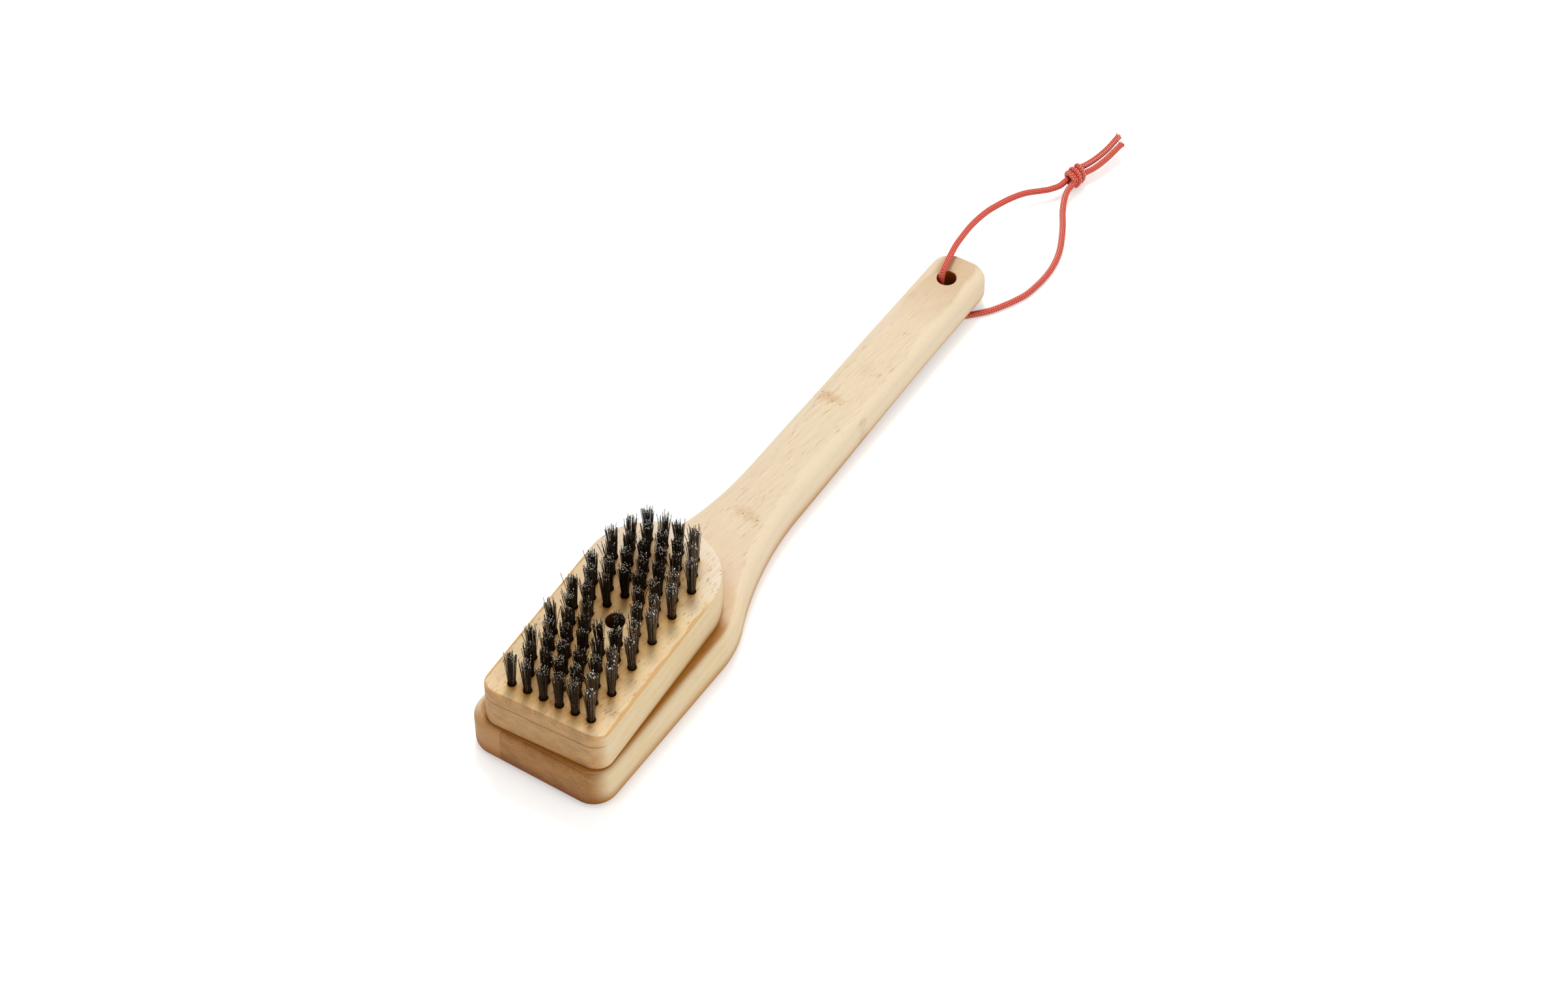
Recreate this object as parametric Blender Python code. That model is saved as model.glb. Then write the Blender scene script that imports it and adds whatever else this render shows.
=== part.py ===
"""Bamboo grill brush: a handle board, a replaceable wire head held by one screw, and a hang cord.

Metres, +Z up. The brush lies on its back with the bristles up. X runs across it and Y runs from the
head to the grip's end. The origin is on the resting surface, below the middle of the board.
"""

import math

import bmesh
import bpy
from mathutils import Matrix, Vector

MM = 0.001

# Gap between pieces that touch, and how far a cutter reaches past a face
FIT = 0.3 * MM
PAST = 2 * MM
TINY = 0.001 * MM

# Handle board, with lengths counted from its front edge
BOARD_LENGTH = 305 * MM
BOARD_THICKNESS = 18 * MM
PADDLE_WIDTH = 61 * MM
PADDLE_CORNER = 10 * MM
SHOULDER_START = 80.2 * MM
SHOULDER_RADIUS = 45 * MM
NECK_RADIUS = 146 * MM
GRIP_WIDTH = 25.4 * MM
GRIP_END_WIDTH = 23.8 * MM
GRIP_CORNER = 8.5 * MM
GRIP_SIDE_SHIFT = 0.55 * MM
PADDLE_EDGE_ROUND = 2.8 * MM
GRIP_EDGE_ROUND = 5.5 * MM
LOWER_EDGE_ROUND = 4 * MM
SECTION_CHANGE_START = 80 * MM
SECTION_CHANGE_LENGTH = 55 * MM
GRIP_LIFT = 3.3 * MM
LIFT_START = 150 * MM
LIFT_LENGTH = 112 * MM
HANG_HOLE_DIAMETER = 8 * MM
HANG_HOLE_FROM_END = 16 * MM
HANG_HOLE_RIM = 0.4 * MM
HANG_HOLE_UNDERSIDE_RIM = 1 * MM

# Head: a D-shaped block of two layers, turned a little about its screw. The shifts are the way from the
# screw to the block's middle.
HEAD_WIDTH = 53 * MM
HEAD_LENGTH = 104.2 * MM
HEAD_CORNER = 7 * MM
HEAD_SIDE_SHIFT = -0.5 * MM
HEAD_END_SHIFT = 0.45 * MM
HEAD_SKEW = math.radians(3)
BACK_LAYER = 12.7 * MM
FACE_LAYER = 5 * MM
FRONT_EDGE_ROUND = 1.8 * MM
SIDE_EDGE_ROUND = 0.5 * MM
END_EDGE_ROUND = 1.0 * MM

# Mounting screw, sunk in an access bore through the head
SCREW_FROM_FRONT = 54.8 * MM
ACCESS_BORE = 7.5 * MM
SEAT_THICKNESS = 5 * MM
SCREW_HEAD_PLAY = 0.35 * MM
SCREW_HEAD_HEIGHT = 2.6 * MM
SCREW_SHANK = 4 * MM
SCREW_BITE = 12.4 * MM
SCREW_POINT = 3.5 * MM
PILOT_SPARE = 1 * MM
RECESS_SPAN = 4.2 * MM
RECESS_SLOT = 1 * MM
RECESS_DEPTH = 1.5 * MM

# Bristles: staggered rows of wire tufts, each row drawn on one anchor wire under the face layer
ROW_COUNT = 13
ROWS_FROM_FRONT = 7.95 * MM
ROWS_FROM_END = 12.25 * MM
LONG_ROW_TUFTS = 6
TUFT_PITCH = 6.75 * MM
TUFT_EDGE_MARGIN = 6 * MM
BARE_RADIUS = 8.5 * MM
BORE_WALL = 1 * MM
TUFT_ROOT_DIAMETER = 2.8 * MM
TUFT_HEIGHT = 16.3 * MM
STRANDS = 6
STRAND_ROOT_SCALE = 0.8
STRAND_TIP_SCALE = 1.4
TUFT_SPREAD = 0.8 * MM
ANCHOR_WIDTH = 1.6 * MM
ANCHOR_HEIGHT = 1.2 * MM
ANCHOR_OVERRUN = 1.2 * MM
# Where the detour round the access bore starts and turns, as shares of its distance from the screw
DETOUR_START = 1.05
DETOUR_TURN = 0.75

# Hang cord, tied in a loop through the hang hole
CORD_DIAMETER = 2.5 * MM
CORD_STEP = 5.6 * MM
KNOT_MIDDLE = (7.4 * MM, 228.2 * MM, 5.4 * MM)
KNOT_LENGTH = 9 * MM
KNOT_DIAMETER = 10.4 * MM
KNOT_YAW = math.radians(-5)

# Route points in millimetres, chosen by hand along the cord
UPPER_ROUTE = (
    (-2.2, 136.5, 10.7),
    (-2.2, 136.1, 13.2),
    (-2.2, 136.0, 15.8),
    (-2.3, 136.7, 18.4),
    (-2.5, 138.6, 20.3),
    (-3.1, 141.9, 21.0),
    (-4.3, 147.0, 20.7),
    (-5.7, 153.1, 19.9),
    (-7.0, 159.8, 18.2),
    (-8.5, 168.6, 15.8),
    (-9.3, 176.3, 13.6),
    (-9.4, 182.8, 12.0),
    (-9.0, 188.5, 10.6),
    (-7.1, 198.7, 8.4),
    (-4.4, 206.9, 6.5),
    (-0.2, 212.8, 5.4),
    (2.4, 216.0, 5.1),
    (4.7, 219.9, 5.1),
    (5.5, 223.2, 5.4),
)
LOWER_ROUTE = (
    (-2.2, 136.5, 10.3),
    (-2.2, 136.4, 8.6),
    (-2.2, 136.3, 7.0),
    (-1.5, 136.1, 4.3),
    (0.5, 135.5, 2.3),
    (3.1, 134.9, 1.35),
    (5.5, 134.8, 1.35),
    (7.7, 135.5, 1.35),
    (9.6, 136.9, 1.35),
    (12.7, 140.2, 1.35),
    (16.3, 144.6, 1.35),
    (19.3, 149.8, 1.35),
    (22.1, 155.6, 1.35),
    (24.2, 161.9, 1.35),
    (25.3, 172.5, 1.35),
    (24.6, 182.1, 1.35),
    (22.1, 191.2, 1.5),
    (17.1, 201.8, 2.0),
    (12.6, 209.4, 2.8),
    (9.9, 215.5, 3.9),
    (8.9, 219.6, 4.7),
    (8.9, 222.9, 5.1),
)
TAIL_A_ROUTE = (
    (6.5, 233.3, 5.7),
    (7.8, 235.8, 5.9),
    (9.2, 239.4, 6.2),
    (10.5, 244.1, 6.7),
    (11.3, 249.0, 7.1),
    (11.5, 253.2, 7.3),
    (11.6, 256.7, 7.5),
)
TAIL_B_ROUTE = (
    (9.9, 233.0, 5.1),
    (11.4, 236.5, 5.2),
    (12.6, 240.3, 5.6),
    (13.5, 244.7, 6.0),
    (14.1, 249.4, 6.4),
    (14.5, 254.0, 6.6),
)

# Sides of round pieces and steps along curved edges
ROUND_SIDES = 24
TUFT_HOLE_SIDES = 8
KNOT_SIDES = 16
EDGE_STEPS = 3
CORNER_STEPS = 5
ARC_STEPS = 8
LIFT_STEPS = 6
END_ARC_STEPS = 14
ROUTE_STEPS = 16

# Heights that the pieces share
BOARD_TOP = BOARD_THICKNESS
BACK_BOTTOM = BOARD_TOP + FIT
BACK_TOP = BACK_BOTTOM + BACK_LAYER
FACE_BOTTOM = BACK_TOP + FIT
FACE_TOP = FACE_BOTTOM + FACE_LAYER
SEAT_TOP = BACK_BOTTOM + SEAT_THICKNESS
SCREW_HEAD_BOTTOM = SEAT_TOP + FIT
SCREW_HEAD_TOP = SCREW_HEAD_BOTTOM + SCREW_HEAD_HEIGHT
SCREW_TIP = BOARD_TOP - SCREW_BITE
ANCHOR_BOTTOM = BACK_TOP + FIT
ANCHOR_TOP = ANCHOR_BOTTOM + ANCHOR_HEIGHT
GROOVE_TOP = ANCHOR_TOP + FIT
TUFT_ROOT_BOTTOM = ANCHOR_BOTTOM + ANCHOR_HEIGHT / 2
TUFT_ROOT_TOP = FACE_TOP - FIT
TUFT_TOP = FACE_TOP + TUFT_HEIGHT

# Places that the pieces share
FRONT_Y = -BOARD_LENGTH / 2
END_Y = BOARD_LENGTH / 2
SCREW_Y = FRONT_Y + SCREW_FROM_FRONT
HANG_HOLE_Y = END_Y - HANG_HOLE_FROM_END
FIRST_ROW_Y = HEAD_END_SHIFT - HEAD_LENGTH / 2 + ROWS_FROM_FRONT
LAST_ROW_Y = HEAD_END_SHIFT + HEAD_LENGTH / 2 - ROWS_FROM_END
ROW_PITCH = (LAST_ROW_Y - FIRST_ROW_Y) / (ROW_COUNT - 1)


def clear_scene():
    for obj in list(bpy.data.objects):
        bpy.data.objects.remove(obj, do_unlink=True)


def make_material(name, color, roughness, metallic=0.0):
    material = bpy.data.materials.new(name)
    material.use_nodes = True
    shader = material.node_tree.nodes["Principled BSDF"]
    shader.inputs["Base Color"].default_value = (*color, 1.0)
    shader.inputs["Roughness"].default_value = roughness
    shader.inputs["Metallic"].default_value = metallic
    return material


def make_materials():
    return {
        "bamboo": make_material("bamboo", (0.72, 0.53, 0.32), 0.55),
        "bamboo_face": make_material("bamboo_face", (0.78, 0.62, 0.42), 0.5),
        "bamboo_back": make_material("bamboo_back", (0.66, 0.46, 0.26), 0.6),
        "wire": make_material("wire", (0.20, 0.19, 0.18), 0.35, 1.0),
        "screw_steel": make_material("screw_steel", (0.55, 0.55, 0.56), 0.3, 1.0),
        "cord": make_material("cord", (0.74, 0.14, 0.10), 0.8),
    }


def make_empty(name, place, turn=0.0):
    empty = bpy.data.objects.new(name, None)
    bpy.context.scene.collection.objects.link(empty)
    empty.location = place
    empty.rotation_euler = (0, 0, turn)
    return empty


def add_object(name, bm, material, parent=None, smooth=False):
    bmesh.ops.recalc_face_normals(bm, faces=bm.faces[:])
    mesh = bpy.data.meshes.new(name)
    bm.to_mesh(mesh)
    bm.free()
    if smooth:
        mesh.shade_smooth()
        mesh.set_sharp_from_angle(angle=math.radians(35))
    if material:
        mesh.materials.append(material)
    obj = bpy.data.objects.new(name, mesh)
    bpy.context.scene.collection.objects.link(obj)
    obj.parent = parent
    return obj


def add_tool(name, bm, parent=None):
    """A hidden solid that a Boolean takes."""
    tool = add_object(name, bm, None, parent)
    tool.hide_render = True
    tool.display_type = "WIRE"
    return tool


def boolean(obj, tool, operation="DIFFERENCE"):
    modifier = obj.modifiers.new(tool.name, "BOOLEAN")
    modifier.operation = operation
    modifier.solver = "EXACT"
    modifier.object = tool


def arc(middle, radius, start, end, steps, hollow=False):
    """Points with outward normals along an arc, angles in radians from +X."""
    points = []
    for step in range(steps + 1):
        angle = start + (end - start) * step / steps
        spoke = Vector((math.cos(angle), math.sin(angle)))
        points.append((Vector(middle) + radius * spoke, -spoke if hollow else spoke))
    return points


def ring(outline, inset, height):
    """One level of a slab: the half outline drawn in by inset(point) at height(point)."""
    level = []
    for point, normal in outline:
        drawn = point - inset(point) * normal
        level.append(Vector((drawn.x, drawn.y, height(point))))
    return level


def slab(levels):
    """A solid between mirrored half outlines, lowest first, closed below and above by cross strips."""
    bm = bmesh.new()
    sides = []
    for level in levels:
        right = [bm.verts.new(point) for point in level]
        left = []
        for vert in right:
            on_middle = abs(vert.co.x) < TINY
            left.append(vert if on_middle else bm.verts.new((-vert.co.x, vert.co.y, vert.co.z)))
        sides.append((right, left))
    loops = [list(dict.fromkeys(right + left[::-1])) for right, left in sides]
    for lower, upper in zip(loops, loops[1:]):
        for index in range(len(lower)):
            following = (index + 1) % len(lower)
            bm.faces.new((lower[index], lower[following], upper[following], upper[index]))
    for right, left in (sides[0], sides[-1]):
        for index in range(len(right) - 1):
            strip = (right[index], right[index + 1], left[index + 1], left[index])
            bm.faces.new(list(dict.fromkeys(strip)))
    return bm


def rounded(outline, radius, face, inward):
    """Levels of a rounded edge, from the face to the full width. inward is +1 above a bottom face."""
    levels = []
    for step in range(EDGE_STEPS + 1):
        angle = math.pi / 2 * step / EDGE_STEPS
        levels.append(
            ring(
                outline,
                lambda point, a=angle: radius(point) * (1 - math.sin(a)),
                lambda point, a=angle: face(point) + inward * radius(point) * (1 - math.cos(a)),
            )
        )
    return levels


def turned(profile, sides=ROUND_SIDES):
    """A solid turned about Z from (radius, height) points, its first and last ones closed by flat faces."""
    bm = bmesh.new()
    rings = []
    for radius, height in profile:
        spokes = [2 * math.pi * side / sides for side in range(sides)]
        rings.append([bm.verts.new((radius * math.cos(a), radius * math.sin(a), height)) for a in spokes])
    for lower, upper in zip(rings, rings[1:]):
        for side in range(sides):
            following = (side + 1) % sides
            bm.faces.new((lower[side], lower[following], upper[following], upper[side]))
    bm.faces.new(rings[0])
    bm.faces.new(rings[-1])
    return bm


def prism(bm, outline, bottom, top):
    """Adds an upright prism on a closed outline to bm and gives its top face."""
    low = [bm.verts.new((x, y, bottom)) for x, y in outline]
    high = [bm.verts.new((x, y, top)) for x, y in outline]
    for index in range(len(low)):
        following = (index + 1) % len(low)
        bm.faces.new((low[index], low[following], high[following], high[index]))
    bm.faces.new(low)
    return bm.faces.new(high)


def polygon(middle, radius, sides, turn=0.0):
    spokes = [turn + 2 * math.pi * side / sides for side in range(sides)]
    return [(middle[0] + radius * math.cos(a), middle[1] + radius * math.sin(a)) for a in spokes]


def ribbon(path, width):
    """The outline of a flat strip along a path, with mitred bends."""
    right = []
    left = []
    for index, point in enumerate(path):
        before = path[max(index - 1, 0)]
        after = path[min(index + 1, len(path) - 1)]
        into = (point - before).normalized() if index else (after - point).normalized()
        out = (after - point).normalized() if index < len(path) - 1 else into
        mitre = (into + out).normalized()
        across = Vector((mitre.y, -mitre.x))
        reach = width / 2 / mitre.dot(into)
        right.append(point + reach * across)
        left.append(point - reach * across)
    return [tuple(point) for point in right + left[::-1]]


def board_outline():
    """The board's right half, from the front edge round to the grip's end."""
    paddle = PADDLE_WIDTH / 2
    grip = GRIP_WIDTH / 2
    grip_end = GRIP_END_WIDTH / 2
    swing = math.acos(1 - (paddle - grip) / (SHOULDER_RADIUS + NECK_RADIUS))
    shoulder_y = FRONT_Y + SHOULDER_START
    neck_y = shoulder_y + (SHOULDER_RADIUS + NECK_RADIUS) * math.sin(swing)
    corner = (paddle - PADDLE_CORNER, FRONT_Y + PADDLE_CORNER)
    points = arc(corner, PADDLE_CORNER, -math.pi / 2, 0, CORNER_STEPS)
    points += arc((paddle - SHOULDER_RADIUS, shoulder_y), SHOULDER_RADIUS, 0, swing, ARC_STEPS)
    neck = arc((grip + NECK_RADIUS, neck_y), NECK_RADIUS, math.pi + swing, math.pi, ARC_STEPS, hollow=True)
    # The two arcs share a point. The neck's own end lies on the grip.
    points += neck[1:]
    lift_start = FRONT_Y + LIFT_START
    lift_end = lift_start + LIFT_LENGTH
    for step in range(LIFT_STEPS + 1):
        y = lift_start + (lift_end - lift_start) * step / LIFT_STEPS
        if neck_y + TINY < y < END_Y - GRIP_CORNER:
            share = (y - neck_y) / (END_Y - neck_y)
            points.append((Vector((grip + (grip_end - grip) * share, y)), Vector((1, 0))))
    end_corner = (grip_end - GRIP_CORNER, END_Y - GRIP_CORNER)
    points += arc(end_corner, GRIP_CORNER, 0, math.pi / 2, CORNER_STEPS)
    return points


def eased(y, start, length):
    """From 0 to 1 along the board, smoothly, over a length that starts at a distance from its front edge."""
    share = min(max((y - FRONT_Y - start) / length, 0), 1)
    return share * share * (3 - 2 * share)


def board_underside(point):
    """Height of the board's underside: it rises smoothly under the grip, which lets the cord pass."""
    return GRIP_LIFT * eased(point.y, LIFT_START, LIFT_LENGTH)


def board_top_round(point):
    """Radius of the board's top edge: it grows from the paddle to the grip."""
    share = eased(point.y, SECTION_CHANGE_START, SECTION_CHANGE_LENGTH)
    return PADDLE_EDGE_ROUND + (GRIP_EDGE_ROUND - PADDLE_EDGE_ROUND) * share


def head_outline():
    """The head's right half about its own middle: rounded front corners and a half-round far end."""
    half = HEAD_WIDTH / 2
    front = -HEAD_LENGTH / 2
    round_y = HEAD_LENGTH / 2 - half
    points = arc((half - HEAD_CORNER, front + HEAD_CORNER), HEAD_CORNER, -math.pi / 2, 0, CORNER_STEPS)
    points += arc((0, round_y), half, 0, math.pi / 2, END_ARC_STEPS)
    return points


def head_edge_round(point):
    """Radius of the face's edge: most at the front, least along the sides."""
    if point.y < -HEAD_LENGTH / 2 + TINY:
        return FRONT_EDGE_ROUND
    round_y = HEAD_LENGTH / 2 - HEAD_WIDTH / 2
    share = min(max((point.y - round_y) / (HEAD_WIDTH / 2), 0), 1)
    return SIDE_EDGE_ROUND + (END_EDGE_ROUND - SIDE_EDGE_ROUND) * share


def no_inset(point):
    return 0.0


def tuft_stands(x, y):
    """Whether a tuft has wood all round it: clear of the edges, the bare middle and the access bore."""
    half = HEAD_WIDTH / 2
    round_y = HEAD_LENGTH / 2 - half
    aside = x - HEAD_SIDE_SHIFT
    along = y - HEAD_END_SHIFT
    if along > round_y:
        margin = half - math.hypot(aside, along - round_y)
    else:
        margin = min(half - abs(aside), along + HEAD_LENGTH / 2)
    bare = math.hypot(x, y - (FIRST_ROW_Y + LAST_ROW_Y) / 2) < BARE_RADIUS
    near_bore = math.hypot(x, y) < ACCESS_BORE / 2 + TUFT_ROOT_DIAMETER / 2 + FIT + BORE_WALL
    return margin >= TUFT_EDGE_MARGIN and not bare and not near_bore


def tuft_rows():
    """(row number, y, tuft xs) of each row, from the front."""
    rows = []
    for row in range(ROW_COUNT):
        y = FIRST_ROW_Y + row * ROW_PITCH
        count = LONG_ROW_TUFTS - row % 2
        xs = [(place - (count - 1) / 2) * TUFT_PITCH for place in range(count)]
        xs = [x for x in xs if tuft_stands(x, y)]
        if xs:
            rows.append((row + 1, y, xs))
    return rows


def anchor_path(y, xs):
    """The anchor wire's line under a row. It goes round the access bore where the two would meet."""
    keep_out = ACCESS_BORE / 2 + ANCHOR_WIDTH / 2 + FIT + BORE_WALL / 2
    ends = (xs[0] - ANCHOR_OVERRUN, xs[-1] + ANCHOR_OVERRUN)
    path = [(ends[0], y)]
    if abs(y) < keep_out and ends[0] < 0 < ends[1]:
        aside = math.copysign(keep_out, y)
        start = DETOUR_START * keep_out
        turn = DETOUR_TURN * keep_out
        path += [(-start, y), (-turn, aside), (turn, aside), (start, y)]
    path.append((ends[1], y))
    return [Vector(point) for point in path]


def make_board(materials):
    outline = board_outline()
    levels = rounded(outline, lambda point: LOWER_EDGE_ROUND, board_underside, 1)
    levels += rounded(outline, board_top_round, lambda point: BOARD_TOP, -1)[::-1]
    solid = slab(levels)
    for vert in solid.verts:
        vert.co.x += GRIP_SIDE_SHIFT * eased(vert.co.y, SECTION_CHANGE_START, SECTION_CHANGE_LENGTH)
    board = add_object("handle_board", solid, materials["bamboo"], smooth=True)
    radius = HANG_HOLE_DIAMETER / 2
    profile = (
        (radius + HANG_HOLE_UNDERSIDE_RIM, GRIP_LIFT - PAST),
        (radius + HANG_HOLE_UNDERSIDE_RIM, GRIP_LIFT),
        (radius, GRIP_LIFT + HANG_HOLE_UNDERSIDE_RIM),
        (radius, BOARD_TOP - HANG_HOLE_RIM),
        (radius + HANG_HOLE_RIM, BOARD_TOP),
        (radius + HANG_HOLE_RIM, BOARD_TOP + PAST),
    )
    hole = add_tool("hang_hole_cutter", turned(profile))
    hole.location = (0, HANG_HOLE_Y, 0)
    boolean(board, hole)
    pilot = SCREW_SHANK / 2 + FIT
    bottom = SCREW_TIP - PILOT_SPARE
    pilot_hole = add_tool("pilot_hole_cutter", turned(((pilot, bottom), (pilot, BOARD_TOP + PAST))))
    pilot_hole.location = (0, SCREW_Y, 0)
    boolean(board, pilot_hole)


def head_slab(levels):
    """A slab on the head's outline, with its middle where the head's middle lies."""
    solid = slab(levels)
    bmesh.ops.translate(solid, vec=(HEAD_SIDE_SHIFT, HEAD_END_SHIFT, 0), verts=solid.verts[:])
    return solid


def make_back_layer(materials, axis):
    outline = head_outline()
    levels = [
        ring(outline, no_inset, lambda point: BACK_BOTTOM),
        ring(outline, no_inset, lambda point: BACK_TOP),
    ]
    layer = add_object("head_back_layer", head_slab(levels), materials["bamboo_back"], axis)
    bore = ACCESS_BORE / 2
    clearance = SCREW_SHANK / 2 + FIT
    boolean(layer, add_tool("seat_cutter", turned(((bore, SEAT_TOP), (bore, BACK_TOP + PAST))), axis))
    shank_hole = turned(((clearance, BACK_BOTTOM - PAST), (clearance, SEAT_TOP + PAST)))
    boolean(layer, add_tool("shank_hole_cutter", shank_hole, axis))


def make_face_layer(materials, axis):
    outline = head_outline()
    levels = [ring(outline, no_inset, lambda point: FACE_BOTTOM)]
    levels += rounded(outline, head_edge_round, lambda point: FACE_TOP, -1)[::-1]
    layer = add_object("head_face_layer", head_slab(levels), materials["bamboo_face"], axis)
    bore = ACCESS_BORE / 2
    cutter = turned(((bore, FACE_BOTTOM - PAST), (bore, FACE_TOP + PAST)))
    boolean(layer, add_tool("access_bore_cutter", cutter, axis))
    grooves = bmesh.new()
    holes = bmesh.new()
    flat_reach = TUFT_ROOT_DIAMETER / 2 + FIT
    radius = flat_reach / math.cos(math.pi / TUFT_HOLE_SIDES)
    for _, y, xs in tuft_rows():
        path = anchor_path(y, xs)
        path[0].x -= FIT
        path[-1].x += FIT
        prism(grooves, ribbon(path, ANCHOR_WIDTH + 2 * FIT), FACE_BOTTOM - PAST, GROOVE_TOP)
        for x in xs:
            octagon = polygon((x, y), radius, TUFT_HOLE_SIDES, math.pi / TUFT_HOLE_SIDES)
            prism(holes, octagon, FACE_BOTTOM - PAST, FACE_TOP + PAST)
    boolean(layer, add_tool("groove_cutter", grooves, axis))
    boolean(layer, add_tool("tuft_hole_cutter", holes, axis))


def add_tuft(bm, x, y):
    """A six-sided root in its hole. Its top parts into three-sided strands that flare to the trimmed end."""
    top = prism(bm, polygon((x, y), TUFT_ROOT_DIAMETER / 2, STRANDS), TUFT_ROOT_BOTTOM, TUFT_ROOT_TOP)
    sectors = bmesh.ops.poke(bm, faces=[top])["faces"]
    middle = Vector((x, y, 0))
    for sector in sectors:
        centre = sector.calc_center_median()
        away = centre - middle
        away.z = 0
        away.normalize()
        bmesh.ops.inset_individual(bm, faces=[sector], thickness=0)
        for vert in sector.verts:
            vert.co = centre + (vert.co - centre) * STRAND_ROOT_SCALE
        strand = bmesh.ops.extrude_discrete_faces(bm, faces=[sector])["faces"][0]
        for vert in strand.verts:
            spread = centre + (vert.co - centre) * STRAND_TIP_SCALE / STRAND_ROOT_SCALE
            vert.co = spread + away * TUFT_SPREAD
            vert.co.z = TUFT_TOP


def make_rows(materials, axis):
    for row, y, xs in tuft_rows():
        strip = bmesh.new()
        prism(strip, ribbon(anchor_path(y, xs), ANCHOR_WIDTH), ANCHOR_BOTTOM, ANCHOR_TOP)
        wire = add_object(f"bristle_row_{row:02d}", strip, materials["wire"], axis)
        tufts = bmesh.new()
        for x in xs:
            add_tuft(tufts, x, y)
        boolean(wire, add_tool(f"row_{row:02d}_tufts", tufts, axis), "UNION")


def make_screw(materials, axis):
    head = ACCESS_BORE / 2 - SCREW_HEAD_PLAY
    shank = SCREW_SHANK / 2
    tip = 0.1 * shank
    crown = 0.5 * SCREW_HEAD_HEIGHT
    profile = (
        (tip, SCREW_TIP),
        (shank, SCREW_TIP + SCREW_POINT),
        (shank, SCREW_HEAD_BOTTOM),
        (head, SCREW_HEAD_BOTTOM),
        (head, SCREW_HEAD_TOP - crown),
        (0.9 * head, SCREW_HEAD_TOP - 0.25 * crown),
        (0.65 * head, SCREW_HEAD_TOP),
    )
    screw = add_object("mounting_screw", turned(profile), materials["screw_steel"], axis, smooth=True)
    arm = RECESS_SPAN / 2
    slot = RECESS_SLOT / 2
    quarter = ((arm, -slot), (arm, slot), (slot, slot))
    cross = []
    for turn in range(4):
        spin = Matrix.Rotation(turn * math.pi / 2, 2)
        cross += [tuple(spin @ Vector(corner)) for corner in quarter]
    recess = bmesh.new()
    prism(recess, cross, SCREW_HEAD_TOP - RECESS_DEPTH, SCREW_HEAD_TOP + PAST)
    boolean(screw, add_tool("cross_recess_cutter", recess, axis))


def smooth_route(route):
    """Evenly spaced points on a smooth curve through the route's own points."""
    knots = [Vector(point) * MM for point in route]
    knots = [2 * knots[0] - knots[1]] + knots + [2 * knots[-1] - knots[-2]]
    fine = []
    for a, b, c, d in zip(knots, knots[1:], knots[2:], knots[3:]):
        for step in range(ROUTE_STEPS):
            t = step / ROUTE_STEPS
            bend = (2 * a - 5 * b + 4 * c - d) * t * t + (3 * b - a - 3 * c + d) * t * t * t
            fine.append((2 * b + (c - a) * t + bend) / 2)
    fine.append(knots[-2])
    lengths = [0.0]
    for before, after in zip(fine, fine[1:]):
        lengths.append(lengths[-1] + (after - before).length)
    count = max(2, round(lengths[-1] / CORD_STEP))
    points = []
    index = 0
    for step in range(count + 1):
        place = lengths[-1] * step / count
        while index < len(fine) - 2 and lengths[index + 1] < place:
            index += 1
        span = lengths[index + 1] - lengths[index]
        points.append(fine[index].lerp(fine[index + 1], (place - lengths[index]) / span))
    return points


def make_cord_run(name, route, material):
    curve = bpy.data.curves.new(name, "CURVE")
    curve.dimensions = "3D"
    curve.bevel_depth = CORD_DIAMETER / 2
    curve.bevel_resolution = 2
    curve.use_fill_caps = True
    points = smooth_route(route)
    spline = curve.splines.new("POLY")
    spline.points.add(len(points) - 1)
    for target, point in zip(spline.points, points):
        target.co = (*point, 1)
    spline.use_smooth = True
    curve.materials.append(material)
    run = bpy.data.objects.new(name, curve)
    bpy.context.scene.collection.objects.link(run)


def make_knot(material):
    """Two lumpy wraps round both strands, as one solid turned about the cord's line."""
    radius = KNOT_DIAMETER / 2
    shares = (
        (0.62, -0.50),
        (0.86, -0.36),
        (0.97, -0.20),
        (0.88, -0.02),
        (1.00, 0.16),
        (0.90, 0.34),
        (0.64, 0.50),
    )
    solid = turned([(wide * radius, along * KNOT_LENGTH) for wide, along in shares], KNOT_SIDES)
    along_y = Matrix.Rotation(-math.pi / 2, 4, "X")
    turn = Matrix.Rotation(KNOT_YAW, 4, "Z")
    bmesh.ops.transform(solid, matrix=turn @ along_y, verts=solid.verts[:])
    knot = add_object("cord_knot", solid, material, smooth=True)
    knot.location = KNOT_MIDDLE


def make_cord(materials):
    make_cord_run("cord_upper", UPPER_ROUTE, materials["cord"])
    make_cord_run("cord_lower", LOWER_ROUTE, materials["cord"])
    make_cord_run("cord_tail_a", TAIL_A_ROUTE, materials["cord"])
    make_cord_run("cord_tail_b", TAIL_B_ROUTE, materials["cord"])
    make_knot(materials["cord"])


def build():
    clear_scene()
    materials = make_materials()
    make_board(materials)
    screw_axis = make_empty("screw_axis", (0, SCREW_Y, 0))
    head_axis = make_empty("head_axis", (0, SCREW_Y, 0), HEAD_SKEW)
    make_screw(materials, screw_axis)
    make_back_layer(materials, head_axis)
    make_face_layer(materials, head_axis)
    make_rows(materials, head_axis)
    make_cord(materials)


build()
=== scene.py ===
"""Looks of the bamboo grill brush: wood, crimped wire tufts, braided hang cord, screw and a plain studio.

Lengths named in millimetres are multiplied by MM. The head's pieces are made in the head's own frame,
with the screw axis at the origin, and are then placed and turned like the head.
"""

import math

import bmesh
import bpy
import numpy as np
from mathutils import Matrix, Vector


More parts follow.
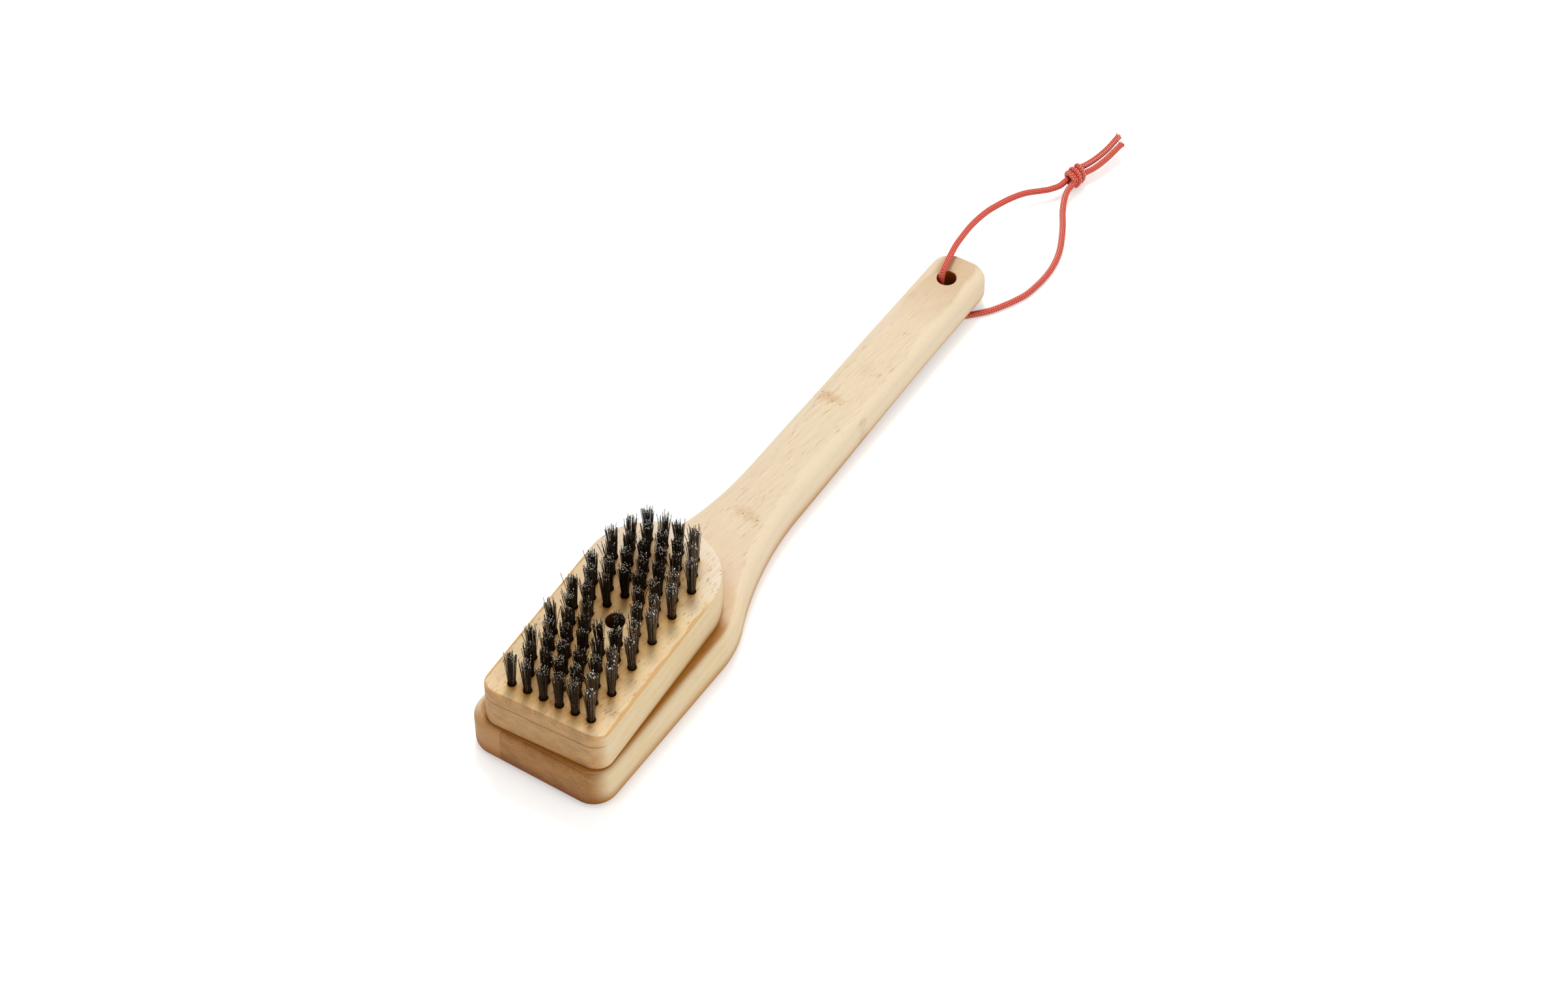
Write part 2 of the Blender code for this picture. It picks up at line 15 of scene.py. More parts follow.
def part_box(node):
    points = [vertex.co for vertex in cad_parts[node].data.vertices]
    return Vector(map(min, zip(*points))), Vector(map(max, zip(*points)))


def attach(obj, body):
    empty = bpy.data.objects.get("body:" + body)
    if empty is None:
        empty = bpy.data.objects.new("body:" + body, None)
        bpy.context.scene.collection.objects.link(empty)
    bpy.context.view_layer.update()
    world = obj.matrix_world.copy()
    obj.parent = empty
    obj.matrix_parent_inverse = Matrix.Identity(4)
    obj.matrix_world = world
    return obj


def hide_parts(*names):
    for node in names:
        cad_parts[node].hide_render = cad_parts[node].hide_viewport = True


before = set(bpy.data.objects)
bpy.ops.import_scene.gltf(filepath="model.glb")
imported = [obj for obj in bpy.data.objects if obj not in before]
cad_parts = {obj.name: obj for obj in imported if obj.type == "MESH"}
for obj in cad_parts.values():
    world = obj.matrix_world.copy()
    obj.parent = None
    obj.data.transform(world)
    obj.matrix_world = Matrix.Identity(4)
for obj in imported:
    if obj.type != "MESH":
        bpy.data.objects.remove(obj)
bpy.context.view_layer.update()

MM = 0.001
GOLDEN_ANGLE = 2.399963
random = np.random.default_rng(7)

# Camera, fitted to the photograph's view
CAMERA_PLACE = (0.55539, -0.83933, 1.13142)
CAMERA_AIM = (-0.00009, 0.01614, 0.0)
CAMERA_LENS = 89.70
SENSOR_WIDTH = 36.0

# Handle board
BOARD_LENGTH = 305 * MM
BOARD_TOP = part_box("handle_board")[1].z
PADDLE_WIDTH = 61 * MM
PADDLE_CORNER = 10 * MM
SHOULDER_START = 80.2 * MM
SHOULDER_RADIUS = 45 * MM
NECK_RADIUS = 146 * MM
GRIP_WIDTH = 25.4 * MM
GRIP_END_WIDTH = 23.8 * MM
GRIP_CORNER = 8.5 * MM
GRIP_SIDE_SHIFT = 0.55 * MM
PADDLE_EDGE_ROUND = 2.8 * MM
GRIP_EDGE_ROUND = 5.5 * MM
LOWER_EDGE_ROUND = 4 * MM
SECTION_CHANGE_START = 80 * MM
SECTION_CHANGE_LENGTH = 55 * MM
EDGE_WANDER = 0.35 * MM
GRIP_LIFT = 3.3 * MM
LIFT_START = 150 * MM
LIFT_LENGTH = 112 * MM
HANG_HOLE_RADIUS = 4 * MM
HANG_HOLE_Y = 136.5 * MM
HANG_HOLE_RIM = 0.4 * MM
HANG_HOLE_UNDERSIDE_RIM = 1 * MM

# Head
HEAD_WIDTH = 53 * MM
HEAD_LENGTH = 104.2 * MM
HEAD_CORNER = 7 * MM
HEAD_SIDE_SHIFT = -0.5 * MM
HEAD_END_SHIFT = 0.45 * MM
HEAD_SKEW = math.radians(3)
SCREW_Y = -97.7 * MM
BACK_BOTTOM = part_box("head_back_layer")[0].z
BACK_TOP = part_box("head_back_layer")[1].z
FACE_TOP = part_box("head_face_layer")[1].z
FRONT_EDGE_ROUND = 1.8 * MM
SIDE_EDGE_ROUND = 0.5 * MM
END_EDGE_ROUND = 1.0 * MM
BACK_EDGE_ROUND = 0.5 * MM
GLUE_EDGE_ROUND = 0.01 * MM
ROUND_STEPS = 7
EDGE_HOLD = 0.35 * MM
CUT_PAST = 2 * MM
WOOD_SMOOTH = 35
ACCESS_BORE = 7.5 * MM
ACCESS_BORE_RIM = 0.2 * MM
SEAT_TOP = BACK_BOTTOM + 5 * MM

# Tufts
ROW_COUNT = 13
ROWS_FROM_FRONT = 7.95 * MM
ROWS_FROM_END = 12.25 * MM
LONG_ROW_TUFTS = 6
TUFT_PITCH = 6.75 * MM
TUFT_EDGE_MARGIN = 6 * MM
BARE_RADIUS = 8.5 * MM
TUFT_HOLE = 3.4 * MM
TUFT_HOLE_RIM = 0.15 * MM
TUFT_HOLE_SIDES = 20
BORE_KEEP_OUT = ACCESS_BORE / 2 + 2.7 * MM
TUFT_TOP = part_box("bristle_row_07")[1].z
TUFT_FOOT_RADIUS = 1.4 * MM
TUFT_FLARE = 0.78
WIRES_PER_TUFT = 40
WIRE_RADIUS = 0.145 * MM
CRIMP_LENGTH = 0.86 * MM
CRIMP_DEPTH = 0.13 * MM
WIRE_START_DEPTH = 1.5 * MM
WIRE_SIDES = 3
WIRE_SMOOTH = 75
STRAY_WIRES = 0.05
# Share of wires whose last crimps carry painted glints
PAINTED_GLINT_TIPS = 0.3
ODD_WIRES = 0.10

# Screw
SHANK_RADIUS = 2 * MM
SCREW_CLEARANCE = SHANK_RADIUS + 0.3 * MM
PILOT_SPARE = 1 * MM
THREAD_CORE_RADIUS = 1.45 * MM
THREAD_PITCH = 1.8 * MM
THREAD_LENGTH = 11.5 * MM
THREAD_TIP = 0.08 * MM
SCREW_POINT = 3.5 * MM
SCREW_HEAD_RADIUS = 3.4 * MM
SCREW_HEAD_HEIGHT = 2.6 * MM
RECESS_BAR = (4.2 * MM, 1 * MM, 3 * MM)
SCREW_SIDES = 40
SCREW_RING_STEP = 0.15 * MM
SCREW_SMOOTH = 40
SCREW_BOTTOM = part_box("mounting_screw")[0].z
SCREW_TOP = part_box("mounting_screw")[1].z

# Hang cord, with its knot and its frays in millimetres
CORD_DIAMETER = 2.5 * MM
CORD_SIDES = 64
CORD_RING_STEP = 0.2 * MM
BRAID_COLUMNS = 10
BRAID_PITCH = 1.05 * MM
BRAID_RELIEF = 0.22 * MM
KNOT_MIDDLE = Vector((7.4, 228.2, 5.4))
KNOT_YAW = math.radians(-5)
WRAP_RADIUS = 2.9
WRAP_PITCH = 5.6
UPPER_LENGTH = 0.105
LOWER_LENGTH = 0.112
CORD_SMOOTH = 80
FRAY_YARNS = 150
FRAY_POINTS = 6
FRAY_REACH = 1.15
FRAY_LENGTHS = (0.9, 1.9)
FRAY_YARN_RADIUS = 0.07 * MM

# Route points in millimetres, chosen along the cord
UPPER_ROUTE = (
    (-2.2, 136.5, 10.7), (-2.2, 136.1, 13.2), (-2.2, 136.0, 15.8), (-2.3, 136.7, 18.4),
    (-2.5, 138.6, 20.3), (-3.1, 141.9, 21.0), (-4.3, 147.0, 20.7), (-5.7, 153.1, 19.9),
    (-7.0, 159.8, 18.2), (-8.5, 168.6, 15.8), (-9.3, 176.3, 13.6), (-9.4, 182.8, 12.0),
    (-9.0, 188.5, 10.6), (-7.1, 198.7, 8.4), (-4.4, 206.9, 6.5), (-0.2, 212.8, 5.4),
    (2.4, 216.0, 5.1), (4.7, 219.9, 5.1), (5.5, 223.2, 5.4),
)
LOWER_ROUTE = (
    (-2.2, 136.5, 10.3), (-2.2, 136.4, 8.6), (-2.2, 136.3, 7.0), (-1.5, 136.1, 4.3),
    (0.5, 135.5, 2.3), (3.1, 134.9, 1.35), (5.5, 134.8, 1.35), (7.7, 135.5, 1.35),
    (9.6, 136.9, 1.35), (12.7, 140.2, 1.35), (16.3, 144.6, 1.35), (19.3, 149.8, 1.35),
    (22.1, 155.6, 1.35), (24.2, 161.9, 1.35), (25.3, 172.5, 1.35), (24.6, 182.1, 1.35),
    (22.1, 191.2, 1.5), (17.1, 201.8, 2.0), (12.6, 209.4, 2.8), (9.9, 215.5, 3.9),
    (8.9, 219.6, 4.7), (8.9, 222.9, 5.1),
)
TAIL_A_ROUTE = (
    (6.5, 233.3, 5.7), (7.8, 235.8, 5.9), (9.2, 239.4, 6.2), (10.5, 244.1, 6.7),
    (11.3, 249.0, 7.1), (11.5, 253.2, 7.3), (11.6, 256.7, 7.5),
)
TAIL_B_ROUTE = (
    (9.9, 233.0, 5.1), (11.4, 236.5, 5.2), (12.6, 240.3, 5.6), (13.5, 244.7, 6.0),
    (14.1, 249.4, 6.4), (14.5, 254.0, 6.6),
)

# Studio: a soft key from behind and a wide fill from the right
WORLD_LIGHT = 0.46
KEY_SHARE = 0.41
KEY_SIZE = 0.42
KEY_AZIMUTH = math.radians(-33)
KEY_ELEVATION = math.radians(65)
FILL_SHARE = 0.13
FILL_SIZE = 1.3
FILL_AZIMUTH = math.radians(105)
FILL_ELEVATION = math.radians(25)
LIGHT_DISTANCE = 1.3
FLOOR_LIFT = 0.54
# Painted contact shade on the floor: less lift where the object closes off the space above the floor
CONTACT_SHADE_LIFT = 0.38
CONTACT_SHADE_REACH = 22 * MM
CONTACT_SHADE_SHARES = (0.36, 0.68)
FLOOR_RADIUS = 4.0
FLOOR_TONE = (0.85, 0.86, 0.835)

# Bamboo. Places are in millimetres: nodes as (x, y, half width, half length, strength) and dark dots
# as (x, y) on the board's top, and each reach as the two ends of a smooth change.
BOARD_NODES = (
    (-4.0, 55.0, 7.0, 4.5, 0.95),
    (2.5, -14.0, 7.0, 4.0, 0.60),
    (0.6, 75.0, 5.0, 5.0, 0.30),
    (14.0, 52.5, 3.0, 3.5, 0.60),
)
BOARD_DOTS = ((-8.1, 56.3), (-4.7, 55.6), (-1.9, 53.6), (1.6, 53.8), (1.2, -14.6), (7.8, -14.7))
DOT_RADIUS = 0.45
GRIP_TAN_REACH = (100.0, 140.0)
GRIP_SIDE_REACH = (-70.0, -10.0)
PADDLE_END_SEAM = (-13.9, -14.9)
PAST_BLOCK_REACH = (-68.0, -60.0)
FACE_RIM_REACH = (28.0, 18.0)
FACE_PAINTED_LIGHT_REACH = (5.0, 38.0)
BAMBOO_CREAM = (0.86, 0.705, 0.475)
BAMBOO_PINK = (0.855, 0.675, 0.485)
BAMBOO_SIDE = (0.82, 0.615, 0.335)
BAMBOO_SIDE_PALE = (0.84, 0.67, 0.43)
BAMBOO_STREAK = (0.46, 0.27, 0.135)
BAMBOO_PALE = (0.93, 0.82, 0.61)
BAMBOO_TAN = (0.68, 0.47, 0.26)
BAMBOO_NODE = (0.64, 0.385, 0.19)
BAMBOO_DOT = (0.17, 0.08, 0.035)
GLUE_LINE = (0.24, 0.115, 0.045)
# Painted shade on the wall of the access bore
BORE_SHADE = (0.14, 0.075, 0.03)
BLOCK_END = (0.60, 0.35, 0.158)
PADDLE_END = (0.44, 0.212, 0.073)
PADDLE_END_LEFT = (0.66, 0.36, 0.155)
GRIP_SIDE = (0.92, 0.755, 0.54)
FACE_RIM = (0.66, 0.42, 0.17)

# Painted light: the drilled face's top is lifted to make up for light that its tufts block, warmer than the
# rest and paler toward its far end
FACE_PAINTED_LIGHT = (1.20, 1.06, 0.88)
FACE_PAINTED_LIGHT_FAR = (1.20, 1.18, 1.29)
BRIGHTEST = (0.98, 0.98, 0.98)

# Painted shade in crevices: how far a wall is felt, the open shares where the tint starts and is full, and
# the tint
CREVICE_SHADE = (12 * MM, 0.95, 0.62, (0.54, 0.28, 0.05))
TUFT_SHADE = (10 * MM, 0.72, 0.57, (1.0, 0.82, 0.49))
TUFT_DEPTH_SHADE = (12 * MM, 0.54, 0.24, (0.46, 0.28, 0.11))
CORD_CREVICE_SHADE = (4 * MM, 0.85, 0.35, (0.62, 0.10, 0.09))
# The way that the tufts' painted shade is felt, back and up toward the key light
TUFT_SHADE_WAY = (-0.45, 0.70, 0.55)

# Wire and cord colours
# Painted glints on the wire, and painted shade at the foot of the tufts
WIRE_PAINTED_GLINT = (0.48, 0.42, 0.34)
WIRE_FOOT_SHADE = (0.030, 0.019, 0.010)
# Painted shade between the cord's yarns, and painted highlights on their crests
CORD_GAP_SHADE = (0.30, 0.007, 0.006)
CORD_BODY = (0.86, 0.118, 0.080)
CORD_CREST_HIGHLIGHT = (0.98, 0.36, 0.23)
CORD_TRACER_HIGHLIGHT = (0.96, 0.52, 0.38)
CORD_MOTTLE = (0.62, 0.06, 0.05)


def make_camera():
    data = bpy.data.cameras.new("camera")
    data.sensor_fit = "HORIZONTAL"
    data.sensor_width = SENSOR_WIDTH
    data.lens = CAMERA_LENS
    data.clip_start = 0.01
    camera = bpy.data.objects.new("camera", data)
    bpy.context.scene.collection.objects.link(camera)
    camera.location = CAMERA_PLACE
    aim = Vector(CAMERA_AIM) - Vector(CAMERA_PLACE)
    camera.rotation_euler = aim.to_track_quat("-Z", "Y").to_euler()
    bpy.context.scene.camera = camera


class Nodes:
    """Short calls for the nodes of one tree."""

    def __init__(self, tree):
        self.tree = tree

    def add(self, kind, **settings):
        node = self.tree.nodes.new(kind)
        for name, value in settings.items():
            setattr(node, name, value)
        return node

    def feed(self, socket, value):
        if isinstance(value, bpy.types.NodeSocket):
            self.tree.links.new(value, socket)
        else:
            socket.default_value = value

    def calculated(self, node, values):
        for socket, value in zip(node.inputs, values):
            self.feed(socket, value)
        return node.outputs[0]

    def math(self, operation, *values):
        return self.calculated(self.add("ShaderNodeMath", operation=operation), values)

    def times(self, first, *others):
        for other in others:
            first = self.math("MULTIPLY", first, other)
        return first

    def plus(self, first, second):
        return self.math("ADD", first, second)

    def less(self, first, second):
        return self.math("SUBTRACT", first, second)

    def hypot(self, x, y):
        return self.math("SQRT", self.plus(self.math("POWER", x, 2.0), self.math("POWER", y, 2.0)))

    def vector(self, operation, *values):
        return self.calculated(self.add("ShaderNodeVectorMath", operation=operation), values)

    def join(self, x, y, z):
        return self.calculated(self.add("ShaderNodeCombineXYZ"), (x, y, z))

    def split(self, vector):
        node = self.add("ShaderNodeSeparateXYZ")
        self.feed(node.inputs[0], vector)
        return node.outputs

    def step(self, value, low, high, to_low=0.0, to_high=1.0):
        """A smooth step from to_low at low to to_high at high."""
        node = self.add("ShaderNodeMapRange", interpolation_type="SMOOTHSTEP")
        names = ("Value", "From Min", "From Max", "To Min", "To Max")
        for name, entry in zip(names, (value, low, high, to_low, to_high)):
            self.feed(node.inputs[name], entry)
        return node.outputs["Result"]

    def openness(self, reach):
        """A node for the open share of the space within reach."""
        node = self.add("ShaderNodeAmbientOcclusion", samples=8)
        node.inputs["Distance"].default_value = reach
        return node

    def studio_share(self):
        """1 for rays that see the background itself: camera, glossy and transmission rays."""
        rays = self.add("ShaderNodeLightPath").outputs
        mirrored = self.math("MAXIMUM", rays["Is Glossy Ray"], rays["Is Transmission Ray"])
        return self.math("MAXIMUM", rays["Is Camera Ray"], mirrored)


class Shader(Nodes):
    """A material on one Principled shader."""

    def __init__(self, name):
        self.material = bpy.data.materials.new(name)
        self.material.use_nodes = True
        super().__init__(self.material.node_tree)
        self.surface = self.tree.nodes["Principled BSDF"]
        self.colour = None

    def set(self, name, value):
        self.feed(self.surface.inputs[name], value)

    def place(self):
        """The surface point in millimetres, in the piece's own frame."""
        coordinates = self.add("ShaderNodeTexCoord")
        return self.vector("MULTIPLY", coordinates.outputs["Object"], (1000.0, 1000.0, 1000.0))

    def rotated(self, place, axis, angle):
        node = self.add("ShaderNodeVectorRotate", rotation_type=axis)
        self.feed(node.inputs["Vector"], place)
        self.feed(node.inputs["Angle"], angle)
        return node.outputs[0]

    def stretched(self, place, sizes):
        """place in units of the given lengths."""
        return self.vector("MULTIPLY", place, tuple(1.0 / size for size in sizes))

    def noise(self, place, sizes, detail=2.0, roughness=0.5):
        """Noise with lumps of about the given lengths."""
        node = self.add("ShaderNodeTexNoise")
        names = ("Vector", "Scale", "Detail", "Roughness")
        for name, value in zip(names, (self.stretched(place, sizes), 1.0, detail, roughness)):
            self.feed(node.inputs[name], value)
        return node.outputs["Fac"]

    def cells(self, place, sizes):
        """(distance, random colour) of scattered points, about one in each box of the given lengths."""
        node = self.add("ShaderNodeTexVoronoi")
        self.feed(node.inputs["Vector"], self.stretched(place, sizes))
        self.feed(node.inputs["Scale"], 1.0)
        return node.outputs["Distance"], node.outputs["Color"]

    def mix(self, share, first, second, blend="MIX"):
        node = self.add("ShaderNodeMix", data_type="RGBA", blend_type=blend)
        self.feed(node.inputs[0], share)
        for socket, value in ((node.inputs[6], first), (node.inputs[7], second)):
            self.feed(socket, (*value, 1.0) if isinstance(value, tuple) else value)
        return node.outputs[2]

    def lay(self, colour, *shares):
        """Lays a colour over the present one, by the product of the shares."""
        self.colour = self.mix(self.times(*shares), self.colour, colour)

    def paint_shade(self, crevice, share=1.0, way=None):
        """Paints shade into the colour: tints it where surfaces close off the space before it or toward the
        given way.
        """
        reach, open_share, closed_share, tint = crevice
        node = self.openness(reach)
        if way is not None:
            self.feed(node.inputs["Normal"], self.join(*way))
        tinted = self.mix(1.0, self.colour, tint, blend="MULTIPLY")
        self.lay(tinted, self.step(node.outputs["AO"], open_share, closed_share), share)

    def bump(self, height, depth):
        node = self.add("ShaderNodeBump")
        node.inputs["Distance"].default_value = depth
        self.feed(node.inputs["Height"], height)
        self.set("Normal", node.outputs["Normal"])

    def finished(self, roughness):
        self.set("Base Color", self.colour)
        self.set("Roughness", roughness)
        return self.material


def grain_frame(shader, place, turn):
    """The place in millimetres across and along grain that leans from Y toward X, and wavers a little."""
    waver = shader.noise(place, (40.0, 60.0, 40.0), detail=1.0)
    shift = shader.times(shader.less(waver, 0.5), 3.0)
    return shader.vector("ADD", shader.rotated(place, "Z_AXIS", turn), shader.join(shift, 0.0, 0.0))


def lay_long_grain(shader, grain, dashes):
    """Lays the wood along its fibres, soft bands, fine hairs and clustered dashes, and gives its relief."""
    width, length, share, spread = dashes
    bands = shader.noise(grain, (3.4, 80.0, 5.0), detail=3.0, roughness=0.6)
    shader.colour = shader.mix(shader.step(bands, 0.40, 0.62), BAMBOO_CREAM, BAMBOO_PINK)
    hair = shader.noise(grain, (0.30, 13.0, 0.5), detail=3.0, roughness=0.65)
    shader.lay(BAMBOO_STREAK, shader.step(hair, 0.53, 0.70, 0.0, 0.34))
    shader.lay(BAMBOO_PALE, shader.step(hair, 0.47, 0.32, 0.0, 0.60))
    crowd = shader.noise(grain, (3.0, 16.0, 5.0))
    distance, tone = shader.cells(grain, (width, length, 1.0))
    kept = shader.math("GREATER_THAN", shader.split(tone)[0], 0.35)
    crowded = shader.step(crowd, 0.46, 0.66, spread, 1.0)
    dash = shader.times(shader.step(distance, 0.40, 0.14), crowded, kept)
    shader.lay(BAMBOO_STREAK, dash, share)
    pale_distance, _ = shader.cells(grain, (0.9, 2.2 * length, 1.3))
    shader.lay(BAMBOO_PALE, shader.step(pale_distance, 0.22, 0.06), shader.step(crowd, 0.56, 0.40), 0.6)
    return shader.less(shader.times(hair, 0.6), shader.times(dash, 0.4))


def lay_nodes(shader, own, x, y):
    """Lays the cane's nodes: a brown blush of short dashes at each, and a few dark dots."""
    rough_edge = shader.step(shader.noise(own, (1.6, 6.0, 2.0)), 0.2, 0.8, -0.45, 0.45)
    distance, tone = shader.cells(own, (0.65, 2.4, 1.0))
    kept = shader.math("GREATER_THAN", shader.split(tone)[1], 0.3)
    mark = shader.times(shader.step(distance, 0.42, 0.15), kept)
    for node_x, node_y, half_width, half_length, strength in BOARD_NODES:
        across = shader.times(shader.less(x, node_x), 1 / half_width)
        along = shader.times(shader.less(y, node_y), 1 / half_length)
        away = shader.plus(shader.hypot(across, along), rough_edge)
        inside = shader.step(away, 1.1, 0.2, 0.0, strength)
        shader.lay(BAMBOO_NODE, inside, 0.55)
        shader.lay(BAMBOO_STREAK, mark, inside, 0.55)
    for dot_x, dot_y in BOARD_DOTS:
        away = shader.hypot(shader.less(x, dot_x), shader.less(y, dot_y))
        shader.lay(BAMBOO_DOT, shader.step(away, DOT_RADIUS, 0.5 * DOT_RADIUS, 0.0, 0.6))


def lay_sides(shader, part, place, y, facing):
    """Lays yellower sides with broad bands, from a wavy, pale border on the rounded edge."""
    border = shader.noise(place, (30.0, 22.0, 30.0), detail=3.0, roughness=0.55)
    side = shader.plus(shader.math("ABSOLUTE", facing[0]), shader.step(border, 0.2, 0.8, -0.25, 0.25))
    bands = shader.noise(place, (40.0, 22.0, 2.6))
    ground = shader.mix(shader.step(bands, 0.46, 0.54), BAMBOO_SIDE, BAMBOO_SIDE_PALE)
    if part == "board":
        ground = shader.mix(shader.step(y, *GRIP_SIDE_REACH), ground, GRIP_SIDE)
    side_colour = shader.mix(0.8, shader.colour, ground)
    shader.lay(BAMBOO_PALE, shader.step(side, 0.18, 0.34, 0.0, 0.35))
    shader.lay(side_colour, shader.step(side, 0.32, 0.50))


def lay_rim(shader, place, x, y, facing):
    """Lays a brown, wavy line just inside the face's long edges."""
    aside = shader.math("ABSOLUTE", shader.less(x, HEAD_SIDE_SHIFT / MM))
    wavy = shader.step(shader.noise(place, (20.0, 7.0, 20.0)), 0.3, 0.7, -0.35, 0.35)
    inset = shader.plus(shader.less(HEAD_WIDTH / MM / 2, aside), wavy)
    on_rim = shader.times(shader.step(inset, 1.35, 0.95), shader.step(facing[2], 0.05, 0.25))
    shader.lay(FACE_RIM, on_rim, shader.step(y, *FACE_RIM_REACH, 0.0, 0.85))


def end_grain(shader, place, ground, dot_share):
    """(colour, dots) of the wood's ends: fine dots of fibre bundles, crowded in slanting arcs."""
    lean = shader.rotated(place, "Y_AXIS", math.radians(-28))
    arcs = shader.noise(lean, (5.5, 90.0, 1.3), roughness=0.6)
    patches = shader.noise(place, (7.0, 90.0, 3.5))
    light, dark, dot = (tuple(level * c for c in ground) for level in (1.22, 0.66, 0.40))
    colour = shader.mix(shader.step(patches, 0.35, 0.65), light, ground)
    colour = shader.mix(shader.step(arcs, 0.50, 0.72, 0.0, 0.25), colour, dark)
    distance, _ = shader.cells(lean, (0.85, 90.0, 0.70))
    dots = shader.times(shader.step(distance, 0.42, 0.20), shader.step(arcs, 0.34, 0.55, 0.45, 1.0))
    return shader.mix(shader.times(dots, dot_share), colour, dot), dots


def front_end_share(shader, part, y, facing):
    """1 on the front end, which begins on the rounded front edge, and on the board's ledge behind it."""
    level = shader.hypot(facing[0], facing[1])
    front = shader.math("DIVIDE", facing[1], shader.math("MAXIMUM", level, 0.02))
    share = shader.times(shader.step(front, -0.25, -0.95), shader.step(level, 0.05, 0.35))
    if part == "board":
        edge = -BOARD_LENGTH / MM / 2
        share = shader.math("MAXIMUM", share, shader.step(y, edge + 4.0, edge + 1.0, 0.0, 0.8))
    return share


def bamboo(part, grain_turn, dashes, end_ground, dot_share, seed):
    """Bamboo with its fibres along Y: streaks on its long faces, yellower sides, and dots on its ends."""
    shader = Shader(f"{part}_bamboo")
    own = shader.place()
    x, y, z = shader.split(own)
    place = shader.vector("ADD", own, (seed, seed, 0.0))
    facing = shader.split(shader.add("ShaderNodeTexCoord").outputs["Normal"])
    relief = lay_long_grain(shader, grain_frame(shader, place, math.radians(grain_turn)), dashes)
    if part == "board":
        shader.lay(BAMBOO_TAN, shader.step(y, *GRIP_TAN_REACH, 0.0, 0.60))
    lay_sides(shader, part, place, y, facing)
    if part == "board":
        lay_nodes(shader, own, x, y)
    elif part == "face":
        lay_rim(shader, place, x, y, facing)

    end_colour, end_dots = end_grain(shader, place, end_ground, dot_share)
    if part == "board":
        end_colour = shader.mix(shader.step(x, *PADDLE_END_SEAM, 0.0, 0.75), end_colour, PADDLE_END_LEFT)
    front_share = front_end_share(shader, part, y, facing)
    end_share = shader.plus(front_share, shader.step(facing[1], 0.65, 0.95))
    shader.lay(end_colour, end_share)

    if part != "board":
        from_glue = shader.math("ABSOLUTE", shader.less(z, BACK_TOP / MM))
        shader.lay(GLUE_LINE, shader.step(from_glue, 0.55, 0.1), front_share, 0.65)
        # Painted shade down the wall of the access bore
        radius = ACCESS_BORE / MM / 2
        in_bore = shader.step(shader.hypot(x, y), radius + 0.3, radius + 0.1, 0.0, 0.85)
        shader.lay(BORE_SHADE, in_bore, shader.step(facing[2], 0.7, 0.3))

    # Painted shade: light that bounces about in narrow places comes out warmer and darker, and that is
    # tinted into the colour
    share = 1.0
    if part == "board":
        past_block = shader.step(y, *PAST_BLOCK_REACH, 0.0, 0.7)
        share = shader.less(1.0, shader.times(past_block, shader.step(facing[2], 0.3, 0.7)))
    elif part == "face":
        on_top = shader.step(facing[2], 0.90, 0.99)
        # Painted light on the face's top, lifted and warmed where the tufts block the light
        tint = shader.mix(shader.step(y, *FACE_PAINTED_LIGHT_REACH), FACE_PAINTED_LIGHT, FACE_PAINTED_LIGHT_FAR)
        tinted = shader.vector("MULTIPLY", shader.colour, tint)
        shader.lay(shader.vector("MINIMUM", tinted, BRIGHTEST), on_top)
        # Painted shadows of the tufts on the face's top, and a deeper painted shade among them
        shader.paint_shade(TUFT_SHADE, on_top, TUFT_SHADE_WAY)
        shader.paint_shade(TUFT_DEPTH_SHADE, on_top, TUFT_SHADE_WAY)
        share = shader.less(1.0, on_top)
    shader.paint_shade(CREVICE_SHADE, share)
    shader.set("Specular IOR Level", 0.2)
    shader.bump(shader.less(relief, shader.times(end_dots, end_share, 0.5)), 0.06 * MM)
    return shader.finished(shader.step(relief, 0.0, 0.6, 0.52, 0.66))


def wire_material(name, light, dark, metallic, painted_glint_share):
    """Drawn wire, with painted shade that blackens it toward the foot of the tuft, and painted glints in
    small spots along it.
    """
    shader = Shader(name)
    place = shader.place()
    grime = shader.noise(place, (0.6, 0.6, 1.5))
    shader.colour = shader.mix(shader.step(grime, 0.35, 0.7), light, dark)
    painted_glint_spots = shader.noise(place, (0.35, 0.35, 0.6), detail=1.0)
    # Painted glints: brighter spots along the wire
    shader.lay(WIRE_PAINTED_GLINT, shader.step(painted_glint_spots, 0.56, 0.66, 0.0, painted_glint_share))
    # Painted shade: blacker toward the foot of the tuft
    foot = FACE_TOP / MM
    shader.lay(WIRE_FOOT_SHADE, shader.step(shader.split(place)[2], foot + 2.2, foot + 0.2, 0.0, 0.6))
    shader.set("Metallic", metallic)
    shader.set("Specular IOR Level", 0.15)
    shader.set("Specular Tint", (0.25, 0.20, 0.15, 1.0))
    return shader.finished(shader.step(grime, 0.3, 0.8, 0.22, 0.42))


def cut_and_glint_wire_material():
    """Bright steel at the ends where the tufts were trimmed, also laid on the last crimps of some wires as
    painted glints.
    """
    shader = Shader("cut_and_glint_wire")
    grime = shader.noise(shader.place(), (0.3, 0.3, 0.3), detail=1.0)
    shader.colour = shader.mix(grime, (0.95, 0.95, 0.94), (0.55, 0.52, 0.48))
    shader.set("Metallic", 1.0)
    return shader.finished(shader.step(grime, 0.3, 0.7, 0.15, 0.35))


